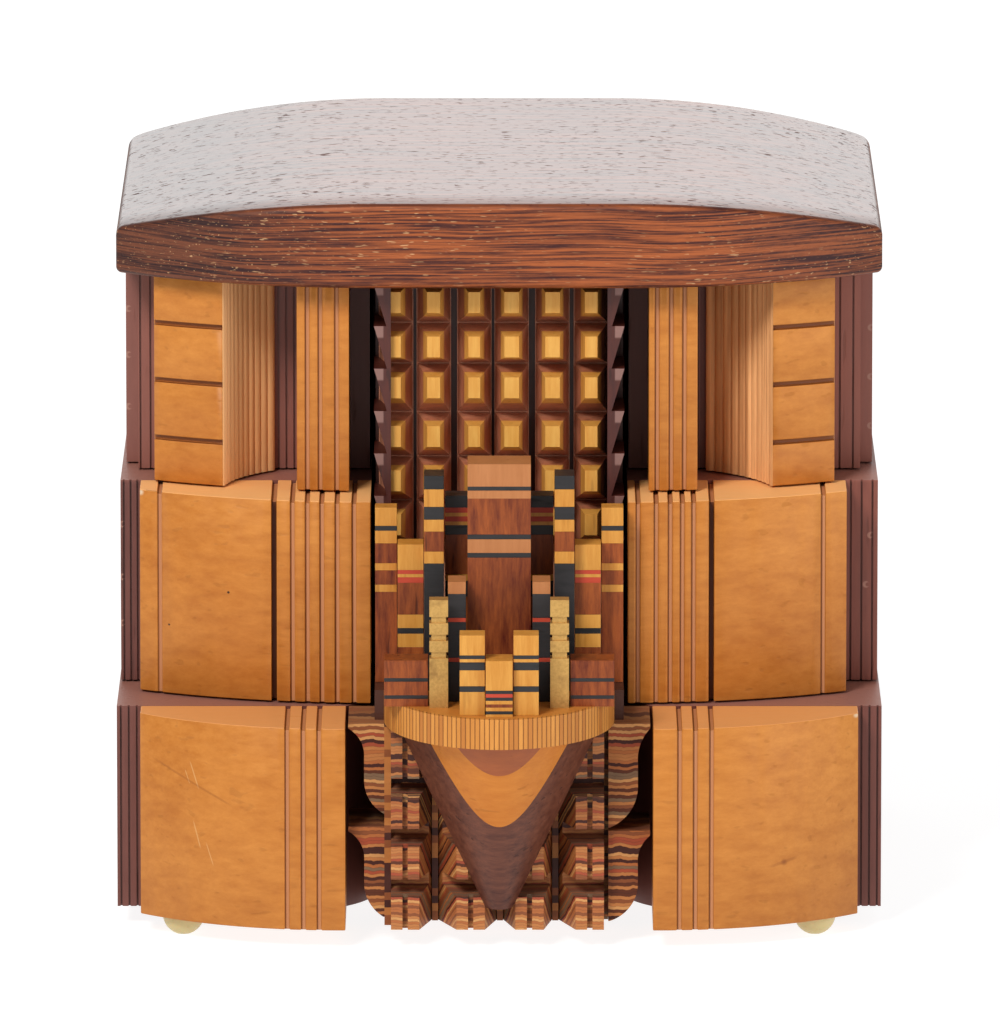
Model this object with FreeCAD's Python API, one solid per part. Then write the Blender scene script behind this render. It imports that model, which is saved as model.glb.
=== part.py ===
import FreeCAD, Part
import math
import os

# Three-tier hardwood keepsake box: a fixed lower tier and centre tower, four swing-out trays on two
# rods at the rear corners, and a domed lift-off lid. Millimetres. X right, Y back, Z up.
# The origin is on the table under the middle of the whole box.

os.makedirs("parts", exist_ok=True)
V = FreeCAD.Vector

# Lid; it reaches a little past the sides of the lower case
lid_side_reach = 0.4
lid_depth = 170.0
lid_crown = 21.2
lid_end = 11.6
lid_shoulder_radius = 3.0
lid_corner_radius = 6.0
lid_flat_half = 30.0
lid_front_bow = 24.0
lid_rear_bow = 4.0
lid_soft_edge = 1.6

# Heights
foot_height = 4.8
low_height = 50.8
mid_height = 50.8
top_height = 52.0
tier_gap = 0.5
lid_gap = 0.3

# Width of the lower case, how far the trays' sides stand in from it, and the slots at the middle
# of the fronts
low_case_width = 190.0
mid_side_inset = 0.4
top_side_inset = 1.4
low_slot_width = 76.0
mid_slot_width = 63.8
top_slot_width = 64.8

# Dark side strips outside the pale front pieces; the two sides differ a little
low_strip_width = 6.0
left_mid_strip_width = 5.1
right_mid_strip_width = 8.1
left_top_strip_width = 7.6
right_top_strip_width = 10.0

# Depths, measured back from the lid's foremost line
rim_reach = 61.0
low_front_reach = 34.8
low_joint_reach = 5.2
mid_front_reach = 4.4
mid_joint_back = 26.0
top_front_back = 8.0
top_joint_back = 40.0
case_rear_back = 158.0

# Bow of the tier fronts
tier_flat_half = 30.0
tier_bow_radius = 110.0
low_flat_half = 39.0
low_bow_radius = 71.0

# Case boards; a well starts a little behind the front of the tier that closes over it
wall = 6.0
well_lap = 2.0
floor_thickness = 4.0
liner_thickness = 1.0
liner_clearance = 0.4
side_groove_width = 0.5
side_groove_depth = 0.9
side_groove_count = 3
top_side_step = 3.2
top_side_setback = 9.0

# Overcut that carries a cutting shape clear of the surface it cuts
overcut = 1.0
side_tolerance = 0.01

# Saw cuts of the pale blocks, by distance from the block's inner end: shallow scores, one deeper
# kerf, and one score near the outer end, by its distance from that end
score_width = 1.15
score_depth = 0.7
kerf_width = 1.3
kerf_depth = 3.0
kerf_top_depth = 0.9
low_scores = (6.5, 10.4, 14.4)
left_mid_scores = (4.1, 8.3, 12.1, 15.7, 19.4)
right_mid_scores = (2.5, 7.0, 10.5, 13.5, 16.3)
left_mid_kerf = 24.0
right_mid_kerf = 20.8
left_mid_end_score = 5.0
right_mid_end_score = 5.9

# Pilasters beside the slot of the top tier, and their scores by distance from the inner edge
left_pilaster_inset = 4.9
right_pilaster_inset = 4.75
left_pilaster_width = 13.0
right_pilaster_width = 12.15
left_pilaster_scores = (3.1, 7.2, 10.4)
right_pilaster_scores = (2.05, 5.55, 8.85)

# Corner posts and reeded coves of the top tier, with a strip of the case beside each pilaster
left_post_width = 17.2
right_post_width = 15.5
corner_score_rises = (11.0, 25.6, 40.0)
corner_score_depth = 1.2
left_cove_strip = 5.9
right_cove_strip = 2.45
cove_back_thickness = 2.5
cove_side_share = 0.42
cove_hollow_share = 0.38
reed_count = 11
reed_height = 0.4

# Pivot rods
rod_radius = 2.0
rod_inset_x = 11.5
rod_inset_y = 9.5
rod_post_radius = 7.0
rod_running_clearance = 0.05
rod_lid_clearance = 0.1
rod_lid_entry = 5.2
rod_socket_spare = 0.8
washer_radius = 5.0
washer_thickness = 0.4

# Feet
foot_radius = 5.2
foot_flat_cut = 0.35
foot_inset_x = 16.6
front_foot_back = 20.7
rear_foot_inset = 14.0

# Centre tower, as wide as the narrowest slot lets it be
core_side_gap = 1.1
core_wall = 5.0
board_back = 26.0
board_thickness = 5.0
back_panel_thickness = 6.0
back_panel_bulge = 8.0
back_panel_ear_reach = 4.0
back_panel_ear_gap = 0.4
back_panel_ear_thickness = 2.0

# Dark inner corner of the lower case
recess_corner_back = 15.0
recess_corner_depth = 7.5

# Lattice of the top tier: upright bars that carry rows of pyramid-shaped knobs with pale noses.
# Each bar has its place, as a share of the tower's half width, and the width of its knobs' noses.
# The rows are levels of the noses' undersides below the top of the cases.
lattice_places = (-0.8344, -0.5292, -0.2013, 0.1006, 0.4302, 0.7419)
lattice_nose_widths = (2.5, 3.2, 2.9, 3.6, 3.6, 3.1)
lattice_row_drops = (7.4, 18.6, 28.9, 41.2, 52.4, 63.5)
lattice_front_back = 10.0
lattice_nose_height = 5.25
lattice_nose_depth = 5.6
lattice_knob_width = 8.2
lattice_knob_rise = 1.0
lattice_knob_drop = 4.65
lattice_knob_gap = 0.25
lattice_strip_gap = 0.7
lattice_strip_thickness = 1.5
fin_reach = 0.3
fin_taper = 3.2
fin_web = 1.0
fin_thickness = 18.0
fin_tooth_count = 8
fin_pitch = 10.7
fin_top_drop = 10.4

# Striped carved front below the balcony: places of the columns' noses and of the grooves
zebra_noses = (-23.25, -7.05, 7.5, 22.4)
zebra_grooves = (-15.9, 0.2, 13.9)
zebra_left_end = 28.4
zebra_right_end = 27.0
zebra_front_reach = 33.7
zebra_front_width = 7.0
zebra_groove_depth = 12.6
zebra_strip_width = 1.5
zebra_strip_reach = 1.4
zebra_side_strip_reach = 7.0
zebra_step_count = 4
zebra_slot_height = 3.0
zebra_slot_mouth = 4.5
zebra_slot_depth = 9.5
zebra_notch_width = 1.3
zebra_notch_depth = 2.2

# Striped side brackets, two cups each
bracket_side_gap = 0.7
bracket_front_reach = 28.0
bracket_back_gap = 0.1
bracket_lip = 1.2
bracket_foot_width = 0.3
left_bracket_waist_inset = 3.9
right_bracket_waist_inset = 3.0
left_upper_cup_height = 22.6
right_upper_cup_height = 26.2
left_lower_cup_drop = 25.9
right_lower_cup_drop = 27.0
lower_cup_height = 22.8

# Balcony and the corbel under it
balcony_half = 28.5
balcony_round_depth = 38.0
balcony_thickness = 7.5
balcony_strip_thickness = 1.4
balcony_strip_count = 75
corbel_half = 24.5
corbel_depth = 24.5
corbel_height = 45.0
corbel_tip = 0.14
corbel_middle_share = 0.58
corbel_inner_share = 0.85
corbel_fullness = 0.55

# Little striped towers on the balcony
town_gap = 0.25
gilt_band_height = 1.6
gilt_band_inset = 0.5

# Derived widths
lid_half = low_case_width / 2.0 + lid_side_reach
mid_case_width = low_case_width - 2.0 * mid_side_inset
top_case_width = low_case_width - 2.0 * top_side_inset
low_front_half = low_case_width / 2.0 - low_strip_width
left_mid_front_half = mid_case_width / 2.0 - left_mid_strip_width
right_mid_front_half = mid_case_width / 2.0 - right_mid_strip_width
left_top_front_half = top_case_width / 2.0 - left_top_strip_width
right_top_front_half = top_case_width / 2.0 - right_top_strip_width
core_half = min(mid_slot_width, top_slot_width) / 2.0 - core_side_gap
lattice_columns = [(core_half * place, nose_width)
                   for place, nose_width in zip(lattice_places, lattice_nose_widths)]
lattice_pitch = min(b[0] - a[0] for a, b in zip(lattice_columns, lattice_columns[1:]))
lattice_strip_width = lattice_pitch - lattice_strip_gap
bracket_half = low_slot_width / 2.0 - bracket_side_gap
fine_cut = (score_width, score_depth, score_depth)
wide_cut = (kerf_width, kerf_depth, kerf_top_depth)

# Derived levels
low_z = foot_height
mid_z = low_z + low_height + tier_gap
top_z = mid_z + mid_height + tier_gap
case_top_z = top_z + top_height
lid_z = case_top_z + lid_gap
balcony_z = low_z + low_height
balcony_top_z = balcony_z + balcony_thickness

# Derived depths: the lid's front line is set so that the box stands centred on the origin
lid_y = rim_reach - (rim_reach + lid_depth) / 2.0
low_front_y = lid_y - low_front_reach
low_joint_y = lid_y - low_joint_reach
mid_front_y = lid_y - mid_front_reach
mid_joint_y = lid_y + mid_joint_back
top_front_y = lid_y + top_front_back
top_joint_y = lid_y + top_joint_back
low_well_y = mid_joint_y + well_lap
mid_well_y = top_joint_y + well_lap
top_well_y = top_joint_y + wall
rear_y = lid_y + case_rear_back
board_y = lid_y + board_back
balcony_round_y = lid_y - rim_reach + balcony_round_depth
rod_x = low_case_width / 2.0 - rod_inset_x
rod_y = rear_y - rod_inset_y


def box(x0, x1, y0, y1, z0, z1):
    """Box between two corners."""
    return Part.makeBox(x1 - x0, y1 - y0, z1 - z0, V(x0, y0, z0))


def sided(shape, side):
    """The right-hand shape itself, or its mirror image for the left."""
    if side > 0:
        return shape
    return shape.mirror(V(0, 0, 0), V(1, 0, 0))


def by_side(side, left, right):
    """The value of the left or the right side."""
    if side > 0:
        return right
    return left


def setback(x, flat_half, radius):
    """How far a bowed front lies behind its crown at a distance x from the middle."""
    run = max(0.0, x - flat_half)
    return radius - math.sqrt(radius * radius - run * run)


def bow_radius(half_width, flat_half, rise):
    """Radius of an arc that starts level at flat_half and falls by rise at half_width."""
    run = half_width - flat_half
    return (run * run + rise * rise) / (2.0 * rise)


def line(a, b):
    return Part.LineSegment(a, b).toShape()


def arc(a, b, c):
    return Part.Arc(a, b, c).toShape()


def prism(edges, vector):
    """Solid swept along a vector from a closed loop of edges."""
    return Part.Face(Part.Wire(edges)).extrude(vector)


def polygon_prism(points, vector):
    """Solid swept along a vector from a closed polygon."""
    return Part.Face(Part.makePolygon(points + [points[0]])).extrude(vector)


def bowed_edges(x_in, x_out, front_y, z, flat_half, radius):
    """Front edges of a right-hand piece, from its inner corner to its outer one."""
    edges = []
    start_x = x_in
    if x_in < flat_half:
        edges.append(line(V(x_in, front_y, z), V(flat_half, front_y, z)))
        start_x = flat_half
    middle_x = (start_x + x_out) / 2.0
    points = [V(x, front_y + setback(x, flat_half, radius), z) for x in (start_x, middle_x, x_out)]
    edges.append(arc(*points))
    return edges


def bowed_block(x_in, x_out, front_y, back_y, z, height, flat_half, radius):
    """Right-hand block with a bowed front and a flat back."""
    edges = bowed_edges(x_in, x_out, front_y, z, flat_half, radius)
    first = V(x_in, front_y + setback(x_in, flat_half, radius), z)
    last = V(x_out, front_y + setback(x_out, flat_half, radius), z)
    back_out = V(x_out, back_y, z)
    back_in = V(x_in, back_y, z)
    edges += [line(last, back_out), line(back_out, back_in), line(back_in, first)]
    return prism(edges, V(0, 0, height))


def cut_kerf(shape, x, width, y0, y1, z, height):
    """Upright saw kerf through the whole height of a block."""
    x0 = x - width / 2.0
    return shape.cut(box(x0, x0 + width, y0, y1, z - overcut, z + height + overcut))


def score(shape, x, cut_sizes, front_y, back_y, z, height, flat_half, radius):
    """Saw cut down the bowed front of a block and back along its top."""
    width, depth, top_depth = cut_sizes
    bottom_y = front_y + setback(x, flat_half, radius) + depth
    shape = cut_kerf(shape, x, width, front_y - overcut, bottom_y, z, height)
    x0 = x - width / 2.0
    top = z + height
    return shape.cut(box(x0, x0 + width, front_y - overcut, back_y, top - top_depth, top + overcut))


def low_block(side):
    """Pale bowed block on the front of the lower case."""
    x_in = low_slot_width / 2.0
    shape = bowed_block(x_in, low_front_half, low_front_y, low_joint_y, low_z, low_height,
                        low_flat_half, low_bow_radius)
    for run in low_scores:
        shape = score(shape, x_in + run, fine_cut, low_front_y, low_joint_y, low_z, low_height,
                      low_flat_half, low_bow_radius)
    return sided(shape, side)


def mid_block(side):
    """Pale bowed block on the front of a middle tray, scored near the slot and cut by one kerf."""
    x_in = mid_slot_width / 2.0
    x_out = by_side(side, left_mid_front_half, right_mid_front_half)
    shape = bowed_block(x_in, x_out, mid_front_y, mid_joint_y, mid_z, mid_height, tier_flat_half,
                        tier_bow_radius)
    cuts = [(x_in + run, fine_cut) for run in by_side(side, left_mid_scores, right_mid_scores)]
    cuts.append((x_in + by_side(side, left_mid_kerf, right_mid_kerf), wide_cut))
    cuts.append((x_out - by_side(side, left_mid_end_score, right_mid_end_score), fine_cut))
    for x, cut_sizes in cuts:
        shape = score(shape, x, cut_sizes, mid_front_y, mid_joint_y, mid_z, mid_height,
                      tier_flat_half, tier_bow_radius)
    return sided(shape, side)


def pilaster_span(side):
    """Inner and outer edge of a pilaster."""
    x_in = top_slot_width / 2.0 + by_side(side, left_pilaster_inset, right_pilaster_inset)
    return x_in, x_in + by_side(side, left_pilaster_width, right_pilaster_width)


def post_span(side):
    """Inner and outer edge of a corner post."""
    x_out = by_side(side, left_top_front_half, right_top_front_half)
    return x_out - by_side(side, left_post_width, right_post_width), x_out


def cove_span(side):
    """Inner and outer edge of a reeded cove, between a strip of the case and the corner post."""
    x_in = pilaster_span(side)[1] + by_side(side, left_cove_strip, right_cove_strip)
    return x_in, post_span(side)[0]


def pilaster(side):
    """Scored upright beside the slot of the top tier."""
    x_in, x_out = pilaster_span(side)
    shape = bowed_block(x_in, x_out, top_front_y, top_joint_y, top_z, top_height,
                        tier_flat_half, tier_bow_radius)
    for run in by_side(side, left_pilaster_scores, right_pilaster_scores):
        shape = score(shape, x_in + run, fine_cut, top_front_y, top_joint_y, top_z, top_height,
                      tier_flat_half, tier_bow_radius)
    return sided(shape, side)


def corner_post(side):
    """Pale post at the outer front corner of the top tier, with level scores."""
    x_in, x_out = post_span(side)
    shape = bowed_block(x_in, x_out, top_front_y, top_joint_y, top_z, top_height,
                        tier_flat_half, tier_bow_radius)
    whole = shape
    for rise in corner_score_rises:
        band = box(x_in - overcut, x_out + overcut, top_front_y - overcut, top_joint_y,
                   top_z + rise - score_width / 2.0, top_z + rise + score_width / 2.0)
        core = whole.translated(V(0, corner_score_depth, 0))
        shape = shape.cut(band.cut(core))
    return sided(shape, side)


def circle_through(a, b, c):
    """Centre, radius and end angles of the circle through three points of a level plane."""
    circle = Part.Arc(a, b, c).toShape().Curve
    centre = circle.Center
    start = math.atan2(a.y - centre.y, a.x - centre.x)
    end = math.atan2(c.y - centre.y, c.x - centre.x)
    return centre, circle.Radius, start, end


def reeded_cove(side):
    """Hollow curved filler beside the corner post, with reeds standing along its face."""
    x_in, x_out = cove_span(side)
    outer_y = top_front_y + setback(x_out, tier_flat_half, tier_bow_radius)
    inner_y = top_joint_y - cove_back_thickness
    start = V(x_out, outer_y, top_z)
    through = V(x_out - (x_out - x_in) * cove_hollow_share,
                outer_y + (inner_y - outer_y) * (1.0 - cove_side_share), top_z)
    end = V(x_in, inner_y, top_z)
    centre, radius, angle_0, angle_1 = circle_through(start, through, end)
    span = angle_1 - angle_0
    if span > math.pi:
        span -= 2.0 * math.pi
    if span < -math.pi:
        span += 2.0 * math.pi

    def on_cove(share, height):
        angle = angle_0 + span * share
        reach = radius - height
        return V(centre.x + reach * math.cos(angle), centre.y + reach * math.sin(angle), top_z)

    edges = []
    for reed in range(reed_count):
        a = on_cove(reed / reed_count, 0.0)
        b = on_cove((reed + 0.5) / reed_count, reed_height)
        c = on_cove((reed + 1.0) / reed_count, 0.0)
        edges.append(arc(a, b, c))
    back_in = V(x_in, top_joint_y, top_z)
    back_out = V(x_out, top_joint_y, top_z)
    edges += [line(on_cove(1.0, 0.0), back_in), line(back_in, back_out)]
    edges.append(line(back_out, on_cove(0.0, 0.0)))
    return sided(prism(edges, V(0, 0, top_height)), side)


def case_outline(x_in, x_out, front_y, z, corner):
    """Outer edges of a right-hand case, with its rear outer corner rounded about the rod."""
    turn = corner * (1.0 - math.sqrt(0.5))
    points = [V(x_in, front_y, z), V(x_out, front_y, z), V(x_out, rear_y - corner, z)]
    bend = V(x_out - turn, rear_y - turn, z)
    after = V(x_out - corner, rear_y, z)
    back_in = V(x_in, rear_y, z)
    edges = [line(points[0], points[1]), line(points[1], points[2]), arc(points[2], bend, after)]
    edges += [line(after, back_in), line(back_in, points[0])]
    return edges


def well_shape(x_in, x_out, well_y, z, height):
    """Hollow of a right-hand case, round the post that holds the rod."""
    hollow = box(x_in + wall, x_out - wall, well_y, rear_y - wall, z, z + height)
    post = Part.makeCylinder(rod_post_radius, height, V(rod_x, rod_y, z))
    corner = box(rod_x, x_out, rod_y, rear_y, z, z + height)
    return hollow.cut(post.fuse(corner))


def grooved(shape, x0, x1, y, z, height):
    """Upright decorative grooves on a front-facing strip of a case."""
    for index in range(side_groove_count):
        x = x0 + (x1 - x0) * (index + 0.5) / side_groove_count
        shape = cut_kerf(shape, x, side_groove_width, y - overcut, y + side_groove_depth, z, height)
    return shape


def tray_case(slot_width, case_width, front_half, joint_y, well_y, z, height):
    """Right-hand tray case: four dark walls round a well, bored for the rod."""
    x_in = slot_width / 2.0
    x_out = case_width / 2.0
    corner = min(x_out - rod_x, rod_inset_y)
    shape = prism(case_outline(x_in, x_out, joint_y, z, corner), V(0, 0, height))
    shape = shape.cut(well_shape(x_in, x_out, well_y, z, height))
    bore = rod_radius + rod_running_clearance
    shape = shape.cut(Part.makeCylinder(bore, height, V(rod_x, rod_y, z)))
    return grooved(shape, front_half, x_out, joint_y, z, height)


def mid_case(side):
    front_half = by_side(side, left_mid_front_half, right_mid_front_half)
    shape = tray_case(mid_slot_width, mid_case_width, front_half, mid_joint_y, mid_well_y, mid_z,
                      mid_height)
    return sided(shape, side)


def top_case(side):
    """Top tray case, stepped back along its outer edge."""
    shape = tray_case(top_slot_width, top_case_width, post_span(side)[1], top_joint_y, top_well_y,
                      top_z, top_height)
    x_out = top_case_width / 2.0
    step = box(x_out - top_side_step, x_out + overcut, top_joint_y - overcut,
               top_joint_y + top_side_setback, top_z - overcut, case_top_z + overcut)
    shape = shape.cut(step)
    strip_in = pilaster_span(side)[1]
    strip_out = cove_span(side)[0]
    if strip_out > strip_in:
        shape = grooved(shape, strip_in, strip_out, top_joint_y, top_z, top_height)
    return sided(shape, side)


def tray_floor(slot_width, case_width, well_y, z, side):
    """Bottom board let in between the walls of a case."""
    shape = well_shape(slot_width / 2.0, case_width / 2.0, well_y, z, floor_thickness)
    return sided(shape, side)


def tray_liner(slot_width, case_width, well_y, z, side):
    """Felt lining on the bottom board."""
    x_in = slot_width / 2.0 + wall + liner_clearance
    x_out = min(case_width / 2.0 - wall, rod_x - rod_post_radius) - liner_clearance
    z0 = z + floor_thickness
    shape = box(x_in, x_out, well_y + liner_clearance, rear_y - wall - liner_clearance,
                z0, z0 + liner_thickness)
    return sided(shape, side)


def base_case(side):
    """Lower case: a fixed well, with a hollow-curved inner front corner behind the slot."""
    x_front = low_slot_width / 2.0
    x_out = low_case_width / 2.0
    corner = min(x_out - rod_x, rod_inset_y)
    outer = case_outline(core_half, x_out, low_joint_y, low_z, corner)
    shape = prism(outer, V(0, 0, low_height))
    corner_y = low_joint_y + recess_corner_back
    start = V(x_front, low_joint_y, low_z)
    through = V(core_half + (x_front - core_half) * 0.3, low_joint_y + recess_corner_depth, low_z)
    end = V(core_half, corner_y, low_z)
    outside = V(core_half - overcut, corner_y, low_z)
    below = V(core_half - overcut, low_joint_y - overcut, low_z)
    front = V(x_front, low_joint_y - overcut, low_z)
    edges = [arc(start, through, end), line(end, outside), line(outside, below)]
    edges += [line(below, front), line(front, start)]
    shape = shape.cut(prism(edges, V(0, 0, low_height)))
    shape = shape.cut(well_shape(x_front, x_out, low_well_y, low_z, low_height))
    shape = shape.cut(Part.makeCylinder(rod_radius, low_height, V(rod_x, rod_y, low_z)))
    shape = grooved(shape, low_front_half, x_out, low_joint_y, low_z, low_height)
    return sided(shape, side)


def pivot_rods():
    """Two metal rods, each through the rear corners of all tiers and into the lid."""
    z0 = low_z + floor_thickness
    length = lid_z + rod_lid_entry - z0
    return [Part.makeCylinder(rod_radius, length, V(side * rod_x, rod_y, z0)) for side in (-1, 1)]


def rod_plugs():
    """Wooden plugs that close the rod holes under the lower case."""
    return [Part.makeCylinder(rod_radius, floor_thickness, V(side * rod_x, rod_y, low_z))
            for side in (-1, 1)]


def rod_washers():
    """Thin washers that carry the trays between the tiers."""
    shapes = []
    for z in (mid_z - tier_gap, top_z - tier_gap):
        lift = (tier_gap - washer_thickness) / 2.0
        for side in (-1, 1):
            place = V(side * rod_x, rod_y, z + lift)
            ring = Part.makeCylinder(washer_radius, washer_thickness, place)
            hole = Part.makeCylinder(rod_radius + rod_running_clearance, washer_thickness, place)
            shapes.append(ring.cut(hole))
    return shapes


def feet():
    """Four soft domes, cut flat where they stand."""
    shapes = []
    x = low_case_width / 2.0 - foot_inset_x
    sphere_radius = (foot_radius ** 2 + (foot_height + foot_flat_cut) ** 2)
    sphere_radius /= 2.0 * (foot_height + foot_flat_cut)
    for y in (low_front_y + front_foot_back, rear_y - rear_foot_inset):
        for side in (-1, 1):
            centre = V(side * x, y, low_z - foot_height - foot_flat_cut + sphere_radius)
            ball = Part.makeSphere(sphere_radius, centre)
            keep = box(side * x - foot_radius, side * x + foot_radius, y - foot_radius,
                       y + foot_radius, low_z - foot_height, low_z)
            shapes.append(ball.common(keep))
    return shapes


def core_front_board():
    """Upright board behind the lattice and the striped block."""
    return box(-core_half, core_half, board_y, board_y + board_thickness, low_z, case_top_z)


def core_cheek(side):
    """Side board of the centre well."""
    shape = box(core_half - core_wall, core_half, board_y + board_thickness,
                rear_y - back_panel_thickness, low_z, case_top_z)
    return sided(shape, side)


def core_back_panel():
    """Rear board of the centre well, bowed outwards like the lid above it.

    Its ears reach behind the trays' rear walls and close the slits beside the centre tower."""
    inner_y = rear_y - back_panel_thickness
    ear_half = core_half + back_panel_ear_reach
    ear_front_y = rear_y + back_panel_ear_gap
    ear_back_y = ear_front_y + back_panel_ear_thickness
    left_ear = V(-ear_half, ear_back_y, low_z)
    right_ear = V(ear_half, ear_back_y, low_z)
    corners = [right_ear, V(ear_half, ear_front_y, low_z), V(core_half, ear_front_y, low_z),
               V(core_half, inner_y, low_z), V(-core_half, inner_y, low_z),
               V(-core_half, ear_front_y, low_z), V(-ear_half, ear_front_y, low_z), left_ear]
    edges = [arc(left_ear, V(0, rear_y + back_panel_bulge, low_z), right_ear)]
    edges += [line(a, b) for a, b in zip(corners, corners[1:])]
    return prism(edges, V(0, 0, case_top_z - low_z))


def core_floor():
    half = core_half - core_wall
    return box(-half, half, board_y + board_thickness, rear_y - back_panel_thickness,
               low_z, low_z + floor_thickness)


def core_liner():
    half = core_half - core_wall - liner_clearance
    z = low_z + floor_thickness
    return box(-half, half, board_y + board_thickness + liner_clearance,
               rear_y - back_panel_thickness - liner_clearance, z, z + liner_thickness)


def trapezoid_bar(x, front_half, back_half, front_y, back_y, z, height):
    """Upright bar that narrows from its back to its front."""
    points = [V(x - front_half, front_y, z), V(x + front_half, front_y, z),
              V(x + back_half, back_y, z), V(x - back_half, back_y, z)]
    return polygon_prism(points, V(0, 0, height))


def rectangle(x0, x1, y, z0, z1):
    """Closed upright wire, facing the front."""
    return Part.makePolygon([V(x0, y, z0), V(x1, y, z0), V(x1, y, z1), V(x0, y, z1), V(x0, y, z0)])


def knob_levels():
    """Underside of each row's noses, with the underside of its knobs at their backs."""
    noses = [case_top_z - drop for drop in lattice_row_drops]
    backs = []
    for nose, following in zip(noses, noses[1:]):
        backs.append(following + lattice_nose_height + lattice_knob_rise + lattice_knob_gap)
    backs.append(noses[-1] - lattice_knob_drop)
    return list(zip(noses, backs))


def knob(x, nose_width, nose_z, back_z):
    """One pyramid-shaped knob of the lattice, cut off at its nose."""
    front_y = lid_y + lattice_front_back
    back_y = board_y - lattice_strip_thickness
    nose = rectangle(x - nose_width / 2.0, x + nose_width / 2.0, front_y, nose_z,
                     nose_z + lattice_nose_height)
    back = rectangle(x - lattice_knob_width / 2.0, x + lattice_knob_width / 2.0, back_y, back_z,
                     nose_z + lattice_nose_height + lattice_knob_rise)
    return Part.makeLoft([nose, back], True, True)


def nose_slab():
    """Upright slab that holds the pale noses of all knobs."""
    front_y = lid_y + lattice_front_back
    return box(-core_half, core_half, front_y - overcut, front_y + lattice_nose_depth, balcony_top_z,
               case_top_z)


def lattice_bar_set():
    """Dark bars against the front board, each with its row of knobs behind the pale noses."""
    bars = []
    slab = nose_slab()
    for x, nose_width in lattice_columns:
        half = lattice_strip_width / 2.0
        bar = box(x - half, x + half, board_y - lattice_strip_thickness, board_y, balcony_top_z,
                  case_top_z)
        knobs = [knob(x, nose_width, nose_z, back_z) for nose_z, back_z in knob_levels()]
        bars.append(bar.fuse([one.cut(slab) for one in knobs]))
    return bars


def lattice_inlays():
    """Pale noses of the knobs."""
    slab = nose_slab()
    return [knob(x, nose_width, nose_z, back_z).common(slab)
            for x, nose_width in lattice_columns for nose_z, back_z in knob_levels()]


def whole_bar(x, nose_width):
    """Room that one bar takes with all its knobs."""
    front_y = lid_y + lattice_front_back
    back_y = board_y - lattice_strip_thickness
    half = lattice_strip_width / 2.0
    height = case_top_z - balcony_top_z
    knobs = trapezoid_bar(x, nose_width / 2.0, lattice_knob_width / 2.0, front_y, back_y,
                          balcony_top_z, height)
    return knobs.fuse(box(x - half, x + half, back_y, board_y, balcony_top_z, case_top_z))


def lattice_fins():
    """Saw-toothed boards that stand along both sides of the lattice."""
    x_out = core_half + fin_reach
    x_in = x_out - fin_taper - fin_web
    y0 = board_y - fin_thickness
    top = case_top_z
    outline = [(x_in, top)]
    for tooth in range(fin_tooth_count):
        low = case_top_z - fin_top_drop - tooth * fin_pitch
        share = (top - low) / fin_pitch
        outline.append((x_out, top))
        outline.append((x_out - fin_taper * share, low))
        top = low
    outline.append((x_in, top))
    shape = polygon_prism([V(x, y0, z) for x, z in outline], V(0, fin_thickness, 0))
    fins = []
    for side, column in ((-1, lattice_columns[0]), (1, lattice_columns[-1])):
        fins.append(sided(shape, side).cut(whole_bar(*column)))
    return fins


def zebra_block():
    """Striped block behind the carved columns, wider where the lower case closes on it."""
    groove_y = lid_y - zebra_front_reach + zebra_groove_depth
    corner_y = low_joint_y + recess_corner_back
    front = box(-zebra_left_end, zebra_right_end, groove_y, corner_y, low_z, balcony_z)
    rear = box(-core_half, core_half, corner_y, board_y, low_z, balcony_z)
    return front.fuse(rear).removeSplitter()


def zebra_backs():
    """Left and right edge of each column at the bottom of the grooves."""
    half = zebra_strip_width / 2.0
    first = zebra_noses[0] - zebra_front_width / 2.0
    last = zebra_noses[-1] + zebra_front_width / 2.0
    lefts = [first] + [x + half for x in zebra_grooves]
    rights = [x - half for x in zebra_grooves] + [last]
    return list(zip(lefts, rights))


def whole_zebra_column(nose_x, back_left, back_right):
    """One column before it is sawn into steps: narrow at the front, wide at its back."""
    front_y = lid_y - zebra_front_reach
    back_y = front_y + zebra_groove_depth
    half = zebra_front_width / 2.0
    points = [V(nose_x - half, front_y, low_z), V(nose_x + half, front_y, low_z),
              V(back_right, back_y, low_z), V(back_left, back_y, low_z)]
    return polygon_prism(points, V(0, 0, low_height))


def zebra_slot(z):
    """Saw slot under one step: its floor falls towards the front."""
    front_y = lid_y - zebra_front_reach
    fall = (zebra_slot_mouth - zebra_slot_height) / zebra_slot_depth
    x = -core_half
    mouth_z = z - zebra_slot_mouth - fall
    points = [V(x, front_y - overcut, z), V(x, front_y + zebra_slot_depth, z),
              V(x, front_y + zebra_slot_depth, z - zebra_slot_height), V(x, front_y - overcut, mouth_z)]
    return polygon_prism(points, V(2.0 * core_half, 0, 0))


def zebra_column_set():
    """Carved columns, sawn into steps and notched up the middle of each nose."""
    front_y = lid_y - zebra_front_reach
    rise = low_height / zebra_step_count
    columns = []
    for nose_x, (back_left, back_right) in zip(zebra_noses, zebra_backs()):
        column = whole_zebra_column(nose_x, back_left, back_right)
        for step in range(1, zebra_step_count):
            column = column.cut(zebra_slot(low_z + step * rise))
        column = cut_kerf(column, nose_x, zebra_notch_width, front_y - overcut,
                          front_y + zebra_notch_depth, low_z, low_height)
        columns.append(column)
    return columns


def zebra_strips():
    """Thin strips in the grooves between the columns, and one beside the leftmost column."""
    groove_y = lid_y - zebra_front_reach + zebra_groove_depth
    half = zebra_strip_width / 2.0
    strips = [box(x - half, x + half, groove_y - zebra_strip_reach, groove_y, low_z, balcony_z)
              for x in zebra_grooves]
    strips.append(box(-zebra_left_end, zebra_backs()[0][0], groove_y - zebra_side_strip_reach,
                      groove_y, low_z, balcony_z))
    return strips


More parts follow.
